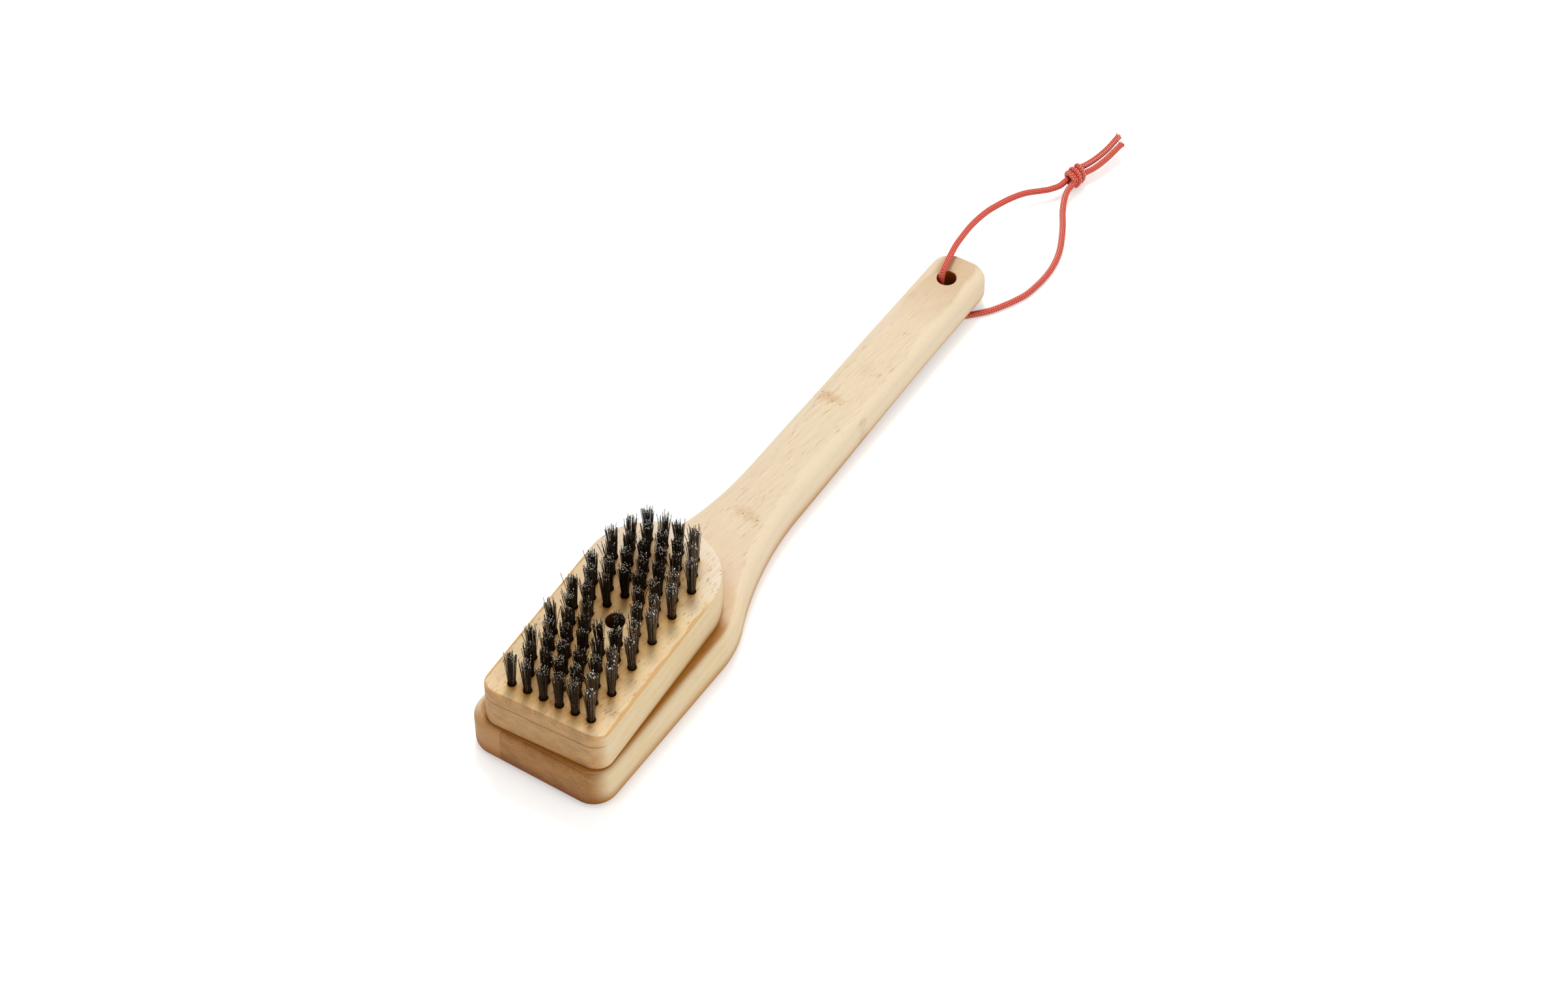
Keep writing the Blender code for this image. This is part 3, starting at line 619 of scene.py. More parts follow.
def cord_material():
    """Coral braid: painted shade, deep red, between the yarns, and painted highlights, lighter on their
    crests and paler on the crests of the tracer yarns.
    """
    shader = Shader("braided_cord")
    place = shader.place()
    crest = shader.add("ShaderNodeAttribute", attribute_name="crest").outputs["Fac"]
    tracer = shader.add("ShaderNodeAttribute", attribute_name="tracer").outputs["Fac"]
    mottle = shader.noise(place, (1.1, 1.1, 1.1))
    shader.colour = shader.mix(shader.step(crest, 0.05, 0.75), CORD_GAP_SHADE, CORD_BODY)
    shader.lay(CORD_CREST_HIGHLIGHT, shader.step(crest, 0.66, 0.97, 0.0, 0.8))
    shader.lay(CORD_TRACER_HIGHLIGHT, tracer, shader.step(crest, 0.45, 0.85), 0.8)
    shader.lay(CORD_MOTTLE, shader.step(mottle, 0.45, 0.8, 0.0, 0.2))
    # Painted shade in the cord's crevices
    shader.paint_shade(CORD_CREVICE_SHADE)
    shader.set("Specular IOR Level", 0.3)
    shader.bump(shader.noise(place, (0.12, 0.12, 0.12)), 0.03 * MM)
    return shader.finished(shader.step(crest, 0.2, 0.9, 0.7, 0.48))


def screw_material():
    shader = Shader("zinc_screw")
    place = shader.place()
    stain = shader.noise(place, (1.6, 1.6, 1.6), detail=3.0)
    shader.colour = shader.mix(stain, (0.70, 0.68, 0.62), (0.40, 0.37, 0.32))
    shader.set("Metallic", 1.0)
    shader.bump(shader.noise(place, (0.2, 0.2, 0.2)), 0.01 * MM)
    return shader.finished(shader.step(stain, 0.3, 0.7, 0.25, 0.45))


def add_light(name, share, size, azimuth, elevation):
    """A disc light that gives upward faces this share of full light. Its azimuth runs from +Y to +X."""
    data = bpy.data.lights.new(name, "AREA")
    data.shape = "DISK"
    data.size = size
    data.energy = share * (math.pi * LIGHT_DISTANCE) ** 2 / math.sin(elevation)
    light = bpy.data.objects.new(name, data)
    bpy.context.scene.collection.objects.link(light)
    level = math.cos(elevation)
    toward = Vector((level * math.sin(azimuth), level * math.cos(azimuth), math.sin(elevation)))
    light.location = toward * LIGHT_DISTANCE
    light.rotation_euler = toward.to_track_quat("Z", "Y").to_euler()


def make_studio():
    world = bpy.data.worlds.new("studio")
    bpy.context.scene.world = world
    world.use_nodes = True
    nodes = Nodes(world.node_tree)
    background = world.node_tree.nodes["Background"]
    nodes.feed(background.inputs["Color"], (1.0, 1.0, 1.0, 1.0))
    strength = nodes.step(nodes.studio_share(), 0.0, 1.0, WORLD_LIGHT, 1.0)
    nodes.feed(background.inputs["Strength"], strength)

    add_light("key", KEY_SHARE, KEY_SIZE, KEY_AZIMUTH, KEY_ELEVATION)
    add_light("fill", FILL_SHARE, FILL_SIZE, FILL_AZIMUTH, FILL_ELEVATION)

    shader = Shader("floor")
    shader.colour = (*FLOOR_TONE, 1.0)
    shader.set("Specular IOR Level", 0.1)
    shader.set("Emission Color", (1.0, 1.0, 1.0, 1.0))
    # Painted contact shade: the floor's lift falls off close to the object
    open_share = shader.openness(CONTACT_SHADE_REACH).outputs["AO"]
    lift = shader.step(open_share, *CONTACT_SHADE_SHARES, CONTACT_SHADE_LIFT, FLOOR_LIFT)
    shader.set("Emission Strength", shader.times(shader.studio_share(), lift))
    disc = bmesh.new()
    bmesh.ops.create_circle(disc, cap_ends=True, segments=96, radius=FLOOR_RADIUS)
    solid("floor", disc, [shader.finished(0.9)])
    bpy.context.scene.view_settings.view_transform = "Standard"


def new_object(name, mesh, materials, smooth_angle=None):
    for material in materials:
        mesh.materials.append(material)
    piece = bpy.data.objects.new(name, mesh)
    bpy.context.scene.collection.objects.link(piece)
    if smooth_angle is not None:
        smooth(piece, smooth_angle)
    return piece


def smooth(piece, angle):
    piece.data.shade_smooth()
    piece.data.set_sharp_from_angle(angle=math.radians(angle))


def solid(name, bm, materials):
    mesh = bpy.data.meshes.new(name)
    bm.to_mesh(mesh)
    bm.free()
    return new_object(name, mesh, materials)


def array_mesh(name, points, faces):
    mesh = bpy.data.meshes.new(name)
    mesh.from_pydata(points.tolist(), [], faces)
    return mesh


def hand_in(piece, body, slot, *nodes):
    """The piece rides on its body and stands for its CAD nodes. Its slot is not used."""
    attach(piece, body)
    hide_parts(*nodes)


def smooth_path(points, step):
    """Evenly spaced points on a smooth curve through the given ones, and its length at each of those."""
    samples = 24
    knots = np.array(points, float)
    knots = np.vstack([2 * knots[0] - knots[1], knots, 2 * knots[-1] - knots[-2]])
    t = np.linspace(0, 1, samples, endpoint=False)[:, None]
    fine = []
    for a, b, c, d in zip(knots, knots[1:], knots[2:], knots[3:]):
        square = (2 * a - 5 * b + 4 * c - d) * t**2
        cube = (3 * b - a - 3 * c + d) * t**3
        fine.append((2 * b + (c - a) * t + square + cube) / 2)
    fine = np.vstack([*fine, knots[-2]])
    lengths = np.concatenate([[0], np.cumsum(np.linalg.norm(np.diff(fine, axis=0), axis=1))])
    count = max(2, round(lengths[-1] / step))
    places = np.linspace(0, lengths[-1], count + 1)
    even = np.column_stack([np.interp(places, lengths, fine[:, axis]) for axis in range(3)])
    return even, lengths[::samples]


def unit(vectors):
    return vectors / np.linalg.norm(vectors, axis=-1, keepdims=True)


def path_frames(points):
    """Two directions square to the path at each point, turned as little as possible along it."""
    tangents = unit(np.gradient(points, axis=0))
    side = np.cross(tangents[0], (0.0, 0.0, 1.0))
    if np.linalg.norm(side) < 0.1:
        side = np.cross(tangents[0], (1.0, 0.0, 0.0))
    sides = []
    for tangent in tangents:
        side = side - tangent * side.dot(tangent)
        side = side / np.linalg.norm(side)
        sides.append(side)
    sides = np.array(sides)
    return sides, np.cross(tangents, sides)


def braid(turns, lengths):
    """(crest, tracer) of the braid, columns of V stitches, at shares of a turn and lengths along it."""
    column = np.floor(turns * BRAID_COLUMNS)
    across = turns * BRAID_COLUMNS - column - 0.5
    lean = np.where(column % 2 == 0, 1.0, -1.0)
    stagger = 0.5 * (np.floor(column / 2) % 2)
    along = lengths / BRAID_PITCH + 0.75 * lean * across + stagger
    along = along - np.floor(along) - 0.5
    crest = np.cos(np.pi * across) ** 0.6 * np.cos(np.pi * along) ** 0.6
    tracer = (column % 6 < 2).astype(float)
    return crest, tracer


def braided_rings(points):
    """(rings of surface points, crest, tracer) round a path given in metres."""
    sides, ups = path_frames(points)
    lengths = np.concatenate([[0], np.cumsum(np.linalg.norm(np.diff(points, axis=0), axis=1))])
    turns = np.arange(CORD_SIDES) / CORD_SIDES
    crest, tracer = braid(turns[None, :] + 1e-6, lengths[:, None])
    tracer = np.broadcast_to(tracer, crest.shape)
    radius = CORD_DIAMETER / 2 + BRAID_RELIEF * (crest - 0.6)
    spin = 2 * np.pi * turns[None, :, None]
    spokes = np.cos(spin) * sides[:, None, :] + np.sin(spin) * ups[:, None, :]
    return points[:, None, :] + radius[:, :, None] * spokes, crest, tracer


def tube_faces(rings, sides, first):
    """The faces of a tube, its two ends included, round rings of points numbered from first."""
    faces = []
    for base in range(first, first + (rings - 1) * sides, sides):
        for side in range(sides):
            following = (side + 1) % sides
            faces.append((base + side, base + following, base + sides + following, base + sides + side))
    last = first + (rings - 1) * sides
    faces.append(tuple(range(first + sides - 1, first - 1, -1)))
    faces.append(tuple(range(last, last + sides)))
    return faces


def braided_piece(name, parts, material):
    """One mesh from stretches of braided rings, each with its ends closed."""
    faces = []
    first = 0
    for surface, _, _ in parts:
        rings, sides, _ = surface.shape
        faces += tube_faces(rings, sides, first)
        first += rings * sides
    surface, crest, tracer = (np.concatenate(arrays) for arrays in zip(*parts))
    mesh = array_mesh(name, surface.reshape(-1, 3), faces)
    for title, values in (("crest", crest), ("tracer", tracer)):
        attribute = mesh.attributes.new(title, "FLOAT", "POINT")
        attribute.data.foreach_set("value", values.reshape(-1).astype(np.float32))
    return new_object(name, mesh, [material], CORD_SMOOTH)


def knot_points(side, first_turn, last_turn, shift):
    """One strand's way through the knot, in millimetres: in by the core, round it and out by it."""
    along = Vector((-math.sin(KNOT_YAW), math.cos(KNOT_YAW), 0))
    across = Vector((math.cos(KNOT_YAW), math.sin(KNOT_YAW), 0))
    up = Vector((0, 0, 1))

    def at(a, s, u):
        return tuple(KNOT_MIDDLE + a * along + s * across + u * up)

    def wrap(degrees, radius, a=None):
        angle = math.radians(degrees)
        a = WRAP_PITCH * (degrees - 90) / 360 + shift if a is None else a
        return at(a, radius * math.cos(angle), radius * math.sin(angle))

    points = [at(-2.6, 1.1 * side, 0.2), at(0.2, 1.0 * side, 0.8), at(2.6, 0.9 * side, 0.8)]
    first_a = WRAP_PITCH * (first_turn - 90) / 360 + shift
    points.append(wrap(first_turn + 55, 0.6 * WRAP_RADIUS, first_a + 0.7))
    degrees = first_turn
    while degrees > last_turn:
        points.append(wrap(degrees, WRAP_RADIUS))
        degrees -= 30
    last_a = WRAP_PITCH * (last_turn - 90) / 360 + shift
    points.append(wrap(last_turn - 45, 0.6 * WRAP_RADIUS, last_a - 0.6))
    points += [at(-1.8, 1.0 * side, -1.1), at(0.6, 1.1 * side, -1.1), at(2.9, 1.2 * side, -0.6)]
    return points


def fibres_piece(name, end, direction, material):
    """The frayed yarns at a cut end of the cord."""
    direction = unit(np.array(direction))
    side = unit(np.cross(direction, (0.0, 0.0, 1.0)))
    up = np.cross(side, direction)
    paths = []
    for number in range(FRAY_YARNS):
        spin = GOLDEN_ANGLE * number
        reach = FRAY_REACH * math.sqrt((number + 0.5) / FRAY_YARNS)
        out = math.cos(spin) * side + math.sin(spin) * up
        start = np.array(end) + reach * MM * out - 0.5 * MM * direction
        length = random.uniform(*FRAY_LENGTHS) * MM
        splay = reach * random.uniform(0.0, 0.30) + 0.03
        sway = random.normal(0, 0.12, 3)
        t = np.linspace(0, 1, FRAY_POINTS)[:, None]
        paths.append(start + length * (t * direction + splay * t**1.6 * out + t**2 * sway))
    points, faces, _ = wires(np.array(paths), FRAY_YARN_RADIUS, 4)
    mesh = array_mesh(name, points, faces)
    attribute = mesh.attributes.new("crest", "FLOAT", "POINT")
    attribute.data.foreach_set("value", np.full(len(points), 0.75, np.float32))
    return new_object(name, mesh, [material], CORD_SMOOTH)


def make_cord(material):
    strands = (
        ("upper", "a", UPPER_ROUTE, TAIL_A_ROUTE, knot_points(-1, 480, 20, -2.7), UPPER_LENGTH),
        ("lower", "b", LOWER_ROUTE, TAIL_B_ROUTE, knot_points(1, 250, -60, 0.1), LOWER_LENGTH),
    )
    knot_parts = []
    runs = []
    for run_name, tail_name, run_route, tail_route, knot_route, length in strands:
        route = [*run_route, *knot_route, *tail_route]
        points, lengths = smooth_path(route, CORD_RING_STEP / MM)
        points[:, 2] = np.maximum(points[:, 2], CORD_DIAMETER / MM / 2 + 0.08)
        points *= MM
        rings = braided_rings(points)
        run_end = round(lengths[len(run_route) - 1] / lengths[-1] * (len(points) - 1))
        tail_start = round(lengths[len(route) - len(tail_route)] / lengths[-1] * (len(points) - 1))
        run = braided_piece(f"hang_cord_{run_name}", [[r[: run_end + 1] for r in rings]], material)
        knot_parts.append([r[run_end : tail_start + 1] for r in rings])
        tail = braided_piece(f"hang_cord_tail_{tail_name}", [[r[tail_start:] for r in rings]], material)
        fray = fibres_piece(f"hang_cord_fray_{tail_name}", points[-1], points[-1] - points[-8], material)
        hand_in(run, "handle", "hang_cord", f"cord_{run_name}")
        hand_in(tail, "handle", "hang_cord", f"cord_tail_{tail_name}")
        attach(fray, "handle")
        runs.append((run, points[: run_end + 1 : 5], length, [tail, fray]))
    knot = braided_piece("hang_cord_knot", knot_parts, material)
    hand_in(knot, "handle", "hang_cord", "cord_knot")
    runs[0][3].append(knot)


def wires(paths, radius, sides):
    """(points, faces, end faces' numbers) of thin tubes along paths, an array of wires by points by 3."""
    count, steps, _ = paths.shape
    tangents = unit(np.gradient(paths, axis=1))
    side = unit(np.cross(tangents, (0.31, 0.95, 0.05)))
    up = np.cross(tangents, side)
    spin = 2 * np.pi * np.arange(sides) / sides
    spokes = np.cos(spin)[:, None] * side[:, :, None, :] + np.sin(spin)[:, None] * up[:, :, None, :]
    points = (paths[:, :, None, :] + radius * spokes).reshape(-1, 3)
    ring = np.arange(sides)
    quads = np.stack([ring, (ring + 1) % sides, (ring + 1) % sides + sides, ring + sides], axis=1)
    one = (np.arange(steps - 1)[:, None, None] * sides + quads).reshape(-1, 4)
    first = np.arange(count) * steps * sides
    faces = (first[:, None, None] + one).reshape(-1, 4).tolist()
    ends = len(faces)
    for start in first.tolist():
        faces.append(tuple(range(start + sides - 1, start - 1, -1)))
        faces.append(tuple(range(start + (steps - 1) * sides, start + steps * sides)))
    return points, faces, ends


def arc(middle, radius, start, end, steps, hollow=False):
    """Points with outward normals along an arc, angles in radians from +X."""
    points = []
    for step in range(steps + 1):
        angle = start + (end - start) * step / steps
        spoke = Vector((math.cos(angle), math.sin(angle)))
        points.append((Vector(middle) + radius * spoke, -spoke if hollow else spoke))
    return points


def straight(start, end, normal, steps):
    """Points between the ends of a straight edge, the ends left out."""
    start = Vector(start)
    end = Vector(end)
    return [(start.lerp(end, step / steps), Vector(normal)) for step in range(1, steps)]


def closed_outline(half):
    """The whole outline from its right half, which runs from the front to the back."""
    left = [(Vector((-p.x, p.y)), Vector((-n.x, n.y))) for p, n in reversed(half) if p.x > 1e-7]
    return half + left


def board_outline():
    paddle = PADDLE_WIDTH / 2
    grip = GRIP_WIDTH / 2
    grip_end = GRIP_END_WIDTH / 2
    front = -BOARD_LENGTH / 2
    back = BOARD_LENGTH / 2
    swing = math.acos(1 - (paddle - grip) / (SHOULDER_RADIUS + NECK_RADIUS))
    shoulder_y = front + SHOULDER_START
    neck_y = shoulder_y + (SHOULDER_RADIUS + NECK_RADIUS) * math.sin(swing)
    half = straight((0, front), (paddle - PADDLE_CORNER, front), (0, -1), 12)
    half += arc((paddle - PADDLE_CORNER, front + PADDLE_CORNER), PADDLE_CORNER, -math.pi / 2, 0, 14)
    half += straight((paddle, front + PADDLE_CORNER), (paddle, shoulder_y), (1, 0), 36)
    half += arc((paddle - SHOULDER_RADIUS, shoulder_y), SHOULDER_RADIUS, 0, swing, 16)
    half += arc((grip + NECK_RADIUS, neck_y), NECK_RADIUS, math.pi + swing, math.pi, 30, hollow=True)[1:]
    half += straight((grip, neck_y), (grip_end, back - GRIP_CORNER), (1, 0), 60)
    half += arc((grip_end - GRIP_CORNER, back - GRIP_CORNER), GRIP_CORNER, 0, math.pi / 2, 14)
    half += straight((grip_end - GRIP_CORNER, back), (0, back), (0, 1), 6)
    return closed_outline(half)


def eased(y, start, length):
    """0 before the start, measured from the board's front, and 1 past the length, smooth between."""
    share = min(max((y + BOARD_LENGTH / 2 - start) / length, 0), 1)
    return share * share * (3 - 2 * share)


def board_underside(point):
    return GRIP_LIFT * eased(point.y, LIFT_START, LIFT_LENGTH)


def head_outline():
    half = HEAD_WIDTH / 2
    front = -HEAD_LENGTH / 2
    round_y = HEAD_LENGTH / 2 - half
    right = straight((0, front), (half - HEAD_CORNER, front), (0, -1), 12)
    right += arc((half - HEAD_CORNER, front + HEAD_CORNER), HEAD_CORNER, -math.pi / 2, 0, 12)
    right += straight((half, front + HEAD_CORNER), (half, round_y), (1, 0), 24)
    right += arc((0, round_y), half, 0, math.pi / 2, 40)
    shift = Vector((HEAD_SIDE_SHIFT, HEAD_END_SHIFT))
    return [(point + shift, normal) for point, normal in closed_outline(right)]


def always(value):
    return lambda *_: value


def lofted(rings, bm=None):
    """A closed solid through rings of equally many points, added to bm if that is given."""
    if bm is None:
        bm = bmesh.new()
    loops = [[bm.verts.new(point) for point in ring] for ring in rings]
    for lower, upper in zip(loops, loops[1:]):
        for corners in zip(lower, lower[1:] + lower[:1], upper[1:] + upper[:1], upper):
            bm.faces.new(corners)
    bm.faces.new(loops[0][::-1])
    bm.faces.new(loops[-1])
    bmesh.ops.recalc_face_normals(bm, faces=bm.faces[:])
    return bm


def slab(name, outline, lower, upper, material):
    """A solid on an outline, with rounded edges, and a ring inside each edge that holds its face flat.

    Each face is given as its height at a point, its edge's radius at a point and normal, and that
    edge's steps.
    """
    halves = []
    for (height_at, radius_at, steps), sign in ((lower, 1), (upper, -1)):
        columns = []
        for point, normal in outline:
            radius = radius_at(point, normal)
            column = [(radius + EDGE_HOLD, 0)]
            for step in range(steps + 1):
                angle = math.pi / 2 * step / steps
                column.append((radius * (1 - math.sin(angle)), radius * (1 - math.cos(angle))))
            column.append((0, radius + EDGE_HOLD))
            height = height_at(point)
            columns.append([(*(point - inset * normal), height + sign * rise) for inset, rise in column])
        halves.append(list(zip(*columns)))
    return solid(name, lofted(halves[0] + halves[1][::-1]), [material])


def turned(profile, middle=(0, 0), sides=48, bm=None):
    """A closed solid turned from (radius, height) points about an upright line through the middle."""
    x, y = middle
    spins = [2 * math.pi * side / sides for side in range(sides)]
    rings = [[(x + r * math.cos(a), y + r * math.sin(a), height) for a in spins] for r, height in profile]
    return lofted(rings, bm)


def drill(radius, bottom, top, rim=0.0, middle=(0, 0), sides=48, bm=None):
    """A cutter for a hole that opens at the top height, with a chamfered rim there."""
    profile = [(radius, bottom)]
    if rim:
        profile += [(radius, top - rim), (radius + rim, top)]
    profile.append((radius + rim, top + CUT_PAST))
    return turned(profile, middle, sides, bm)


def cut(piece, bm):
    """Cuts the closed mesh bm out of the piece."""
    cutter = solid("cutter", bm, [])
    modifier = piece.modifiers.new("cut", "BOOLEAN")
    modifier.operation = "DIFFERENCE"
    modifier.solver = "EXACT"
    modifier.object = cutter
    graph = bpy.context.evaluated_depsgraph_get()
    result = bpy.data.meshes.new_from_object(piece.evaluated_get(graph))
    piece.modifiers.clear()
    used = (piece.data, cutter.data)
    piece.data = result
    bpy.data.objects.remove(cutter)
    for mesh in used:
        bpy.data.meshes.remove(mesh)


def place_in_head(piece):
    piece.matrix_world = Matrix.Translation((0, SCREW_Y, 0)) @ Matrix.Rotation(HEAD_SKEW, 4, "Z")


def make_board(material):
    def edge_round(point, normal):
        side = 1.3 * math.copysign(1, point.x)
        wave = math.sin(point.y / (19 * MM) + side) + 0.6 * math.sin(point.y / (8.3 * MM))
        share = eased(point.y, SECTION_CHANGE_START, SECTION_CHANGE_LENGTH)
        return PADDLE_EDGE_ROUND + (GRIP_EDGE_ROUND - PADDLE_EDGE_ROUND) * share + EDGE_WANDER * wave / 1.6

    lower = (board_underside, always(LOWER_EDGE_ROUND), ROUND_STEPS)
    upper = (always(BOARD_TOP), edge_round, ROUND_STEPS)
    board = slab("board", board_outline(), lower, upper, material)
    for vert in board.data.vertices:
        vert.co.x += GRIP_SIDE_SHIFT * eased(vert.co.y, SECTION_CHANGE_START, SECTION_CHANGE_LENGTH)
    rim = HANG_HOLE_RIM
    under = HANG_HOLE_UNDERSIDE_RIM
    radius = HANG_HOLE_RADIUS
    profile = [(radius + under, GRIP_LIFT - CUT_PAST), (radius + under, GRIP_LIFT)]
    profile += [(radius, GRIP_LIFT + under), (radius, BOARD_TOP - rim)]
    for step in range(1, 5):
        angle = math.pi / 2 * step / 4
        profile.append((radius + rim * (1 - math.cos(angle)), BOARD_TOP - rim * (1 - math.sin(angle))))
    profile.append((radius + rim, BOARD_TOP + CUT_PAST))
    cut(board, turned(profile, (0, HANG_HOLE_Y)))
    cut(board, drill(SCREW_CLEARANCE, SCREW_BOTTOM - PILOT_SPARE, BOARD_TOP, middle=(0, SCREW_Y)))
    smooth(board, WOOD_SMOOTH)
    hand_in(board, "handle", "bamboo_board", "handle_board")


def tuft_rows():
    """(row number, y, tuft xs) of each row, from the front."""
    half = HEAD_WIDTH / 2
    round_y = HEAD_LENGTH / 2 - half
    first = HEAD_END_SHIFT - HEAD_LENGTH / 2 + ROWS_FROM_FRONT
    last = HEAD_END_SHIFT + HEAD_LENGTH / 2 - ROWS_FROM_END
    rows = []
    for row in range(ROW_COUNT):
        y = first + row * (last - first) / (ROW_COUNT - 1)
        count = LONG_ROW_TUFTS - row % 2
        xs = []
        for number in range(count):
            x = (number - (count - 1) / 2) * TUFT_PITCH
            aside = x - HEAD_SIDE_SHIFT
            past_round = max(0.0, y - HEAD_END_SHIFT - round_y)
            margin = half - math.hypot(aside, past_round)
            bare = math.hypot(x, y - (first + last) / 2) < BARE_RADIUS
            if margin >= TUFT_EDGE_MARGIN and not bare and math.hypot(x, y) >= BORE_KEEP_OUT:
                xs.append(x)
        rows.append((row + 1, y, xs))
    return rows


def make_head(back_material, face_material):
    def face_round(point, normal):
        front = (FRONT_EDGE_ROUND - SIDE_EDGE_ROUND) * max(0.0, -normal.y) ** 2
        return SIDE_EDGE_ROUND + front + (END_EDGE_ROUND - SIDE_EDGE_ROUND) * max(0.0, normal.y)

    outline = head_outline()
    bore = ACCESS_BORE / 2
    lower = (always(BACK_BOTTOM), always(BACK_EDGE_ROUND), ROUND_STEPS)
    glued = (always(BACK_TOP), always(GLUE_EDGE_ROUND), 1)
    back = slab("head_back", outline, lower, glued, back_material)
    cut(back, drill(bore, SEAT_TOP, BACK_TOP))
    cut(back, drill(SCREW_CLEARANCE, BACK_BOTTOM - CUT_PAST, SEAT_TOP))
    upper = (always(FACE_TOP), face_round, ROUND_STEPS)
    face = slab("head_face", outline, glued, upper, face_material)
    face_through = (BACK_TOP - CUT_PAST, FACE_TOP)
    cut(face, drill(bore, *face_through, ACCESS_BORE_RIM))
    holes = bmesh.new()
    for _, y, xs in tuft_rows():
        for x in xs:
            drill(TUFT_HOLE / 2, *face_through, TUFT_HOLE_RIM, (x, y), TUFT_HOLE_SIDES, holes)
    cut(face, holes)
    layers = ((back, "bamboo_back", "head_back_layer"), (face, "bamboo_face", "head_face_layer"))
    for piece, slot, node in layers:
        smooth(piece, WOOD_SMOOTH)
        place_in_head(piece)
        hand_in(piece, "head", slot, node)


def tuft_wires(x, y):
    """Paths of a tuft's crimped wires. They leave the hole close together and flare to uneven ends."""
    bottom = FACE_TOP - WIRE_START_DEPTH
    height = TUFT_TOP - FACE_TOP
    steps = round((TUFT_TOP - bottom) / (CRIMP_LENGTH / 2)) + 1
    crimp_way = random.uniform(0, math.pi)
    crimp_phase = random.integers(0, 2)
    lean = random.normal(0, 0.35, 2) * MM
    number = np.arange(WIRES_PER_TUFT)
    spin = GOLDEN_ANGLE * number + random.uniform(0, 6.28)
    reach = TUFT_FOOT_RADIUS * np.sqrt((number + 0.5) / WIRES_PER_TUFT)
    out = np.stack([np.cos(spin), np.sin(spin)], axis=1)
    flare = TUFT_FLARE * random.uniform(0.6, 1.25, WIRES_PER_TUFT)
    drift = random.normal(0, 0.22, (WIRES_PER_TUFT, 2)) * MM
    stray = random.random(WIRES_PER_TUFT) < STRAY_WIRES
    drift[stray] += out[stray] * random.uniform(0.9, 2.2, (int(stray.sum()), 1)) * MM
    tops = height + np.clip(random.normal(-0.1, 0.75, WIRES_PER_TUFT), -1.8, 1.5) * MM
    stretch = tops / height
    level = np.linspace(0, 1, steps)
    z = bottom + (FACE_TOP - bottom + stretch[:, None] * height) * level[None, :]
    rise = np.clip((z - FACE_TOP) / height, 0, 1)
    bulge = 1 + 0.07 * np.exp(-(((z - FACE_TOP) / MM - 0.7) ** 2) / 0.5)
    spread = reach[:, None] * bulge * (1 + flare[:, None] * rise**1.2)
    plan = out[:, None, :] * spread[:, :, None]
    plan = plan + (drift[:, None, :] * rise[:, :, None] ** 1.5) + lean * rise[:, :, None] ** 1.3
    waver = np.where((np.arange(steps) + crimp_phase) % 2 == 0, 1.0, -1.0)
    ways = crimp_way + random.normal(0, 0.35, WIRES_PER_TUFT)
    crimp_out = np.stack([np.cos(ways), np.sin(ways)], axis=1) * CRIMP_DEPTH
    plan = plan + crimp_out[:, None, :] * waver[None, :, None]
    paths = np.concatenate([plan, z[:, :, None]], axis=2)
    paths[:, :, 0] += x
    paths[:, :, 1] += y
    return paths


def make_tufts(wire, cut_and_glint_wire, lit_wire):
    for row, y, xs in tuft_rows():
        paths = np.concatenate([tuft_wires(x, y) for x in xs])
        points, faces, ends = wires(paths, WIRE_RADIUS, WIRE_SIDES)
        name = f"tufts_{row:02d}"
        mesh = array_mesh(name, points, faces)
        piece = new_object(name, mesh, [wire, cut_and_glint_wire, lit_wire], WIRE_SMOOTH)
        slots = np.zeros(len(faces), np.int32)
        # Painted light: the front row and the last tuft of each row take a lighter copy of the wire, where
        # the light reaches them
        slots[0 if row == 1 else ends * (len(xs) - 1) // len(xs) : ends] = 2
        slots[ends + 1 :: 2] = 1
        count, steps, _ = paths.shape
        sides = slots[:ends].reshape(count, steps - 1, WIRE_SIDES)
        odd = random.random(count) < ODD_WIRES
        sides[odd] = 2 - sides[odd]
        odd_lit = (sides[:, 0, 0] == 2) & (random.random(count) < 2 * ODD_WIRES)
        sides[odd_lit & ~odd] = 0
        # Painted glints: the last crimps of some wires take the bright steel of the cut ends
        sides[random.random(count) < PAINTED_GLINT_TIPS, -2:] = 1
        mesh.polygons.foreach_set("material_index", slots)
        place_in_head(piece)
        hand_in(piece, "head", "bristle_wire", f"bristle_row_{row:02d}")


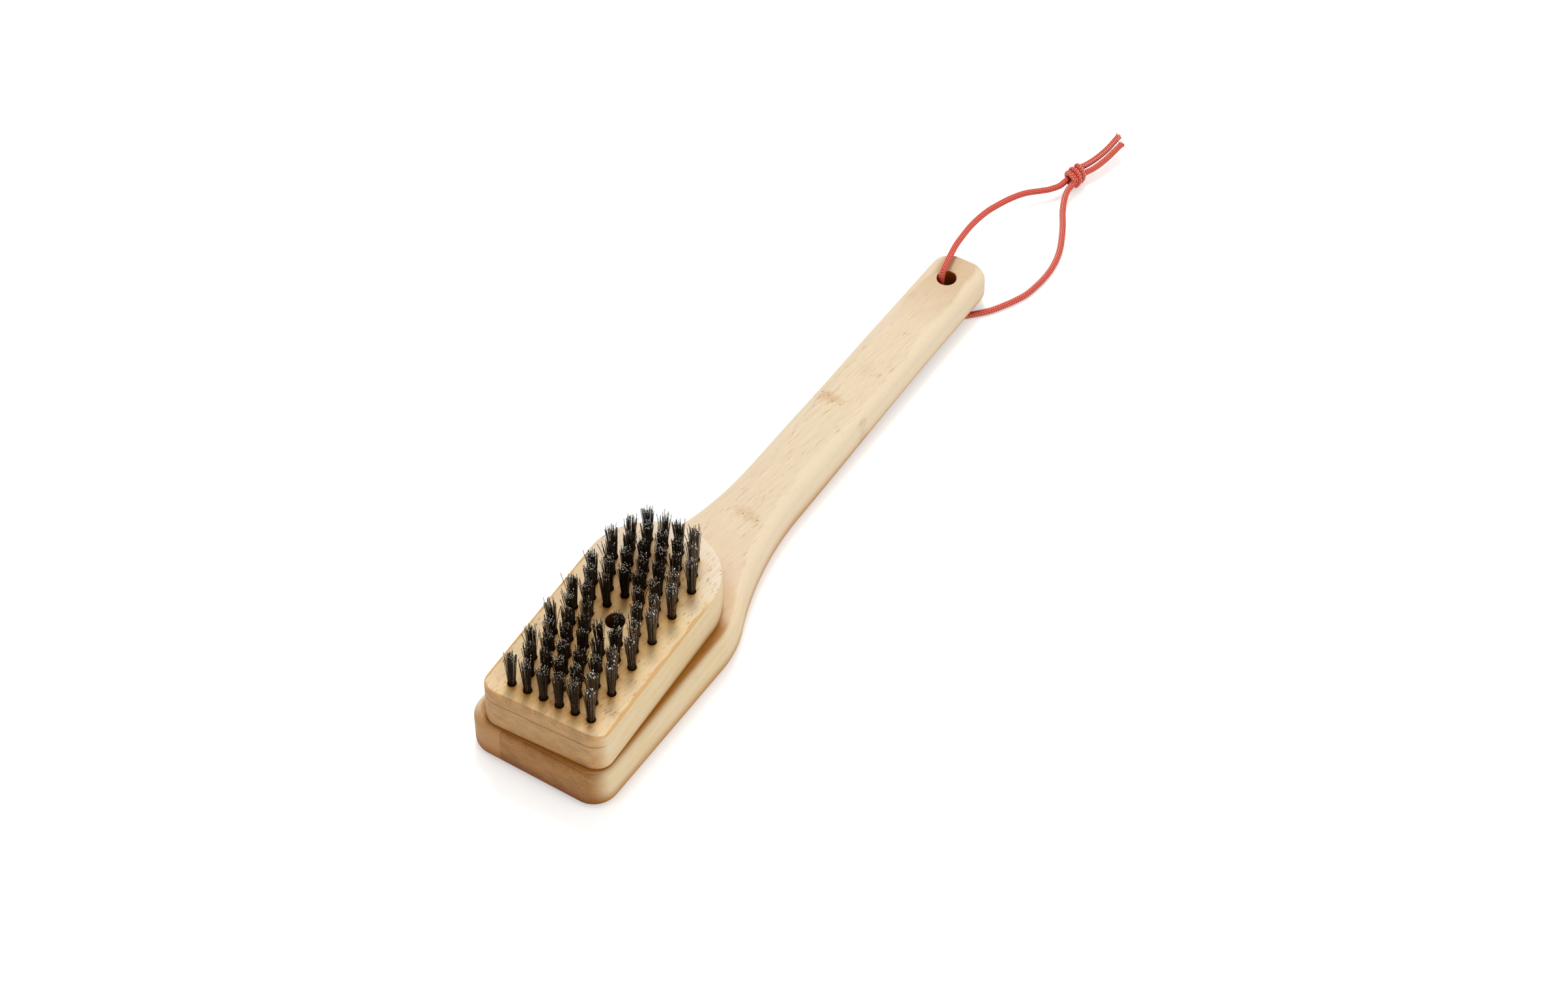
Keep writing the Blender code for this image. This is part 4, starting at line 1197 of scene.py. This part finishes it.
def make_screw(material):
    """A wood screw: tapered thread on a core, a plain neck and a round head with a cross recess."""
    turns = np.arange(SCREW_SIDES) / SCREW_SIDES
    head_bottom = SCREW_TOP - SCREW_HEAD_HEIGHT
    neck = SCREW_BOTTOM + THREAD_LENGTH
    levels = []
    z = SCREW_BOTTOM
    while z < head_bottom:
        taper = min(1.0, (z - SCREW_BOTTOM) / SCREW_POINT)
        core = THREAD_CORE_RADIUS * taper**0.8 + THREAD_TIP
        crest = np.maximum(0, 1 - abs((z / THREAD_PITCH - turns) % 1.0 - 0.5) / 0.28) ** 0.7
        thread = (SHANK_RADIUS - THREAD_CORE_RADIUS - THREAD_TIP) * min(1.0, taper * 2) * crest
        levels.append((min(SHANK_RADIUS, core + (z - neck) * 0.8) if z > neck else core + thread, z))
        z += SCREW_RING_STEP
    levels.append((SHANK_RADIUS, head_bottom))
    head = [(0.96, 0.0), (1.0, 0.06), (1.0, 0.45)]
    for number in range(1, 8):
        angle = math.pi / 2 * number / 8
        head.append((math.cos(angle), 0.45 + 0.55 * math.sin(angle)))
    levels += [(out * SCREW_HEAD_RADIUS, head_bottom + rise * SCREW_HEAD_HEIGHT) for out, rise in head]
    spin = 2 * np.pi * turns
    rings = []
    for radius, z in levels:
        ring = np.column_stack([radius * np.cos(spin), radius * np.sin(spin), np.full(SCREW_SIDES, z)])
        rings.append(ring.tolist())
    screw = solid("screw", lofted(rings), [material])
    for quarter in range(2):
        bar = bmesh.new()
        bmesh.ops.create_cube(bar, size=1.0)
        bmesh.ops.scale(bar, vec=RECESS_BAR, verts=bar.verts[:])
        bmesh.ops.rotate(bar, matrix=Matrix.Rotation(quarter * math.pi / 2, 3, "Z"), verts=bar.verts[:])
        bmesh.ops.translate(bar, vec=(0, 0, SCREW_TOP), verts=bar.verts[:])
        cut(screw, bar)
    smooth(screw, SCREW_SMOOTH)
    screw.location = (0, SCREW_Y, 0)
    hand_in(screw, "screw", "screw_steel", "mounting_screw")


make_camera()
make_cord(cord_material())
make_studio()
make_board(bamboo("board", 5.5, (0.60, 5.5, 0.7, 0.10), PADDLE_END, 0.50, 0.0))
make_head(
    bamboo("back", 4.0, (0.55, 7.0, 0.4, 0.06), BLOCK_END, 0.30, 140.0),
    bamboo("face", 6.0, (0.85, 3.6, 1.0, 0.45), BLOCK_END, 0.30, 310.0),
)
make_tufts(
    wire_material("tuft_wire", (0.040, 0.021, 0.008), (0.012, 0.007, 0.003), 0.3, 0.12),
    cut_and_glint_wire_material(),
    # Painted light: a lighter copy of the wire for the tufts that the light reaches
    wire_material("lit_tuft_wire", (0.21, 0.15, 0.098), (0.062, 0.04, 0.024), 0.7, 0.4),
)
make_screw(screw_material())
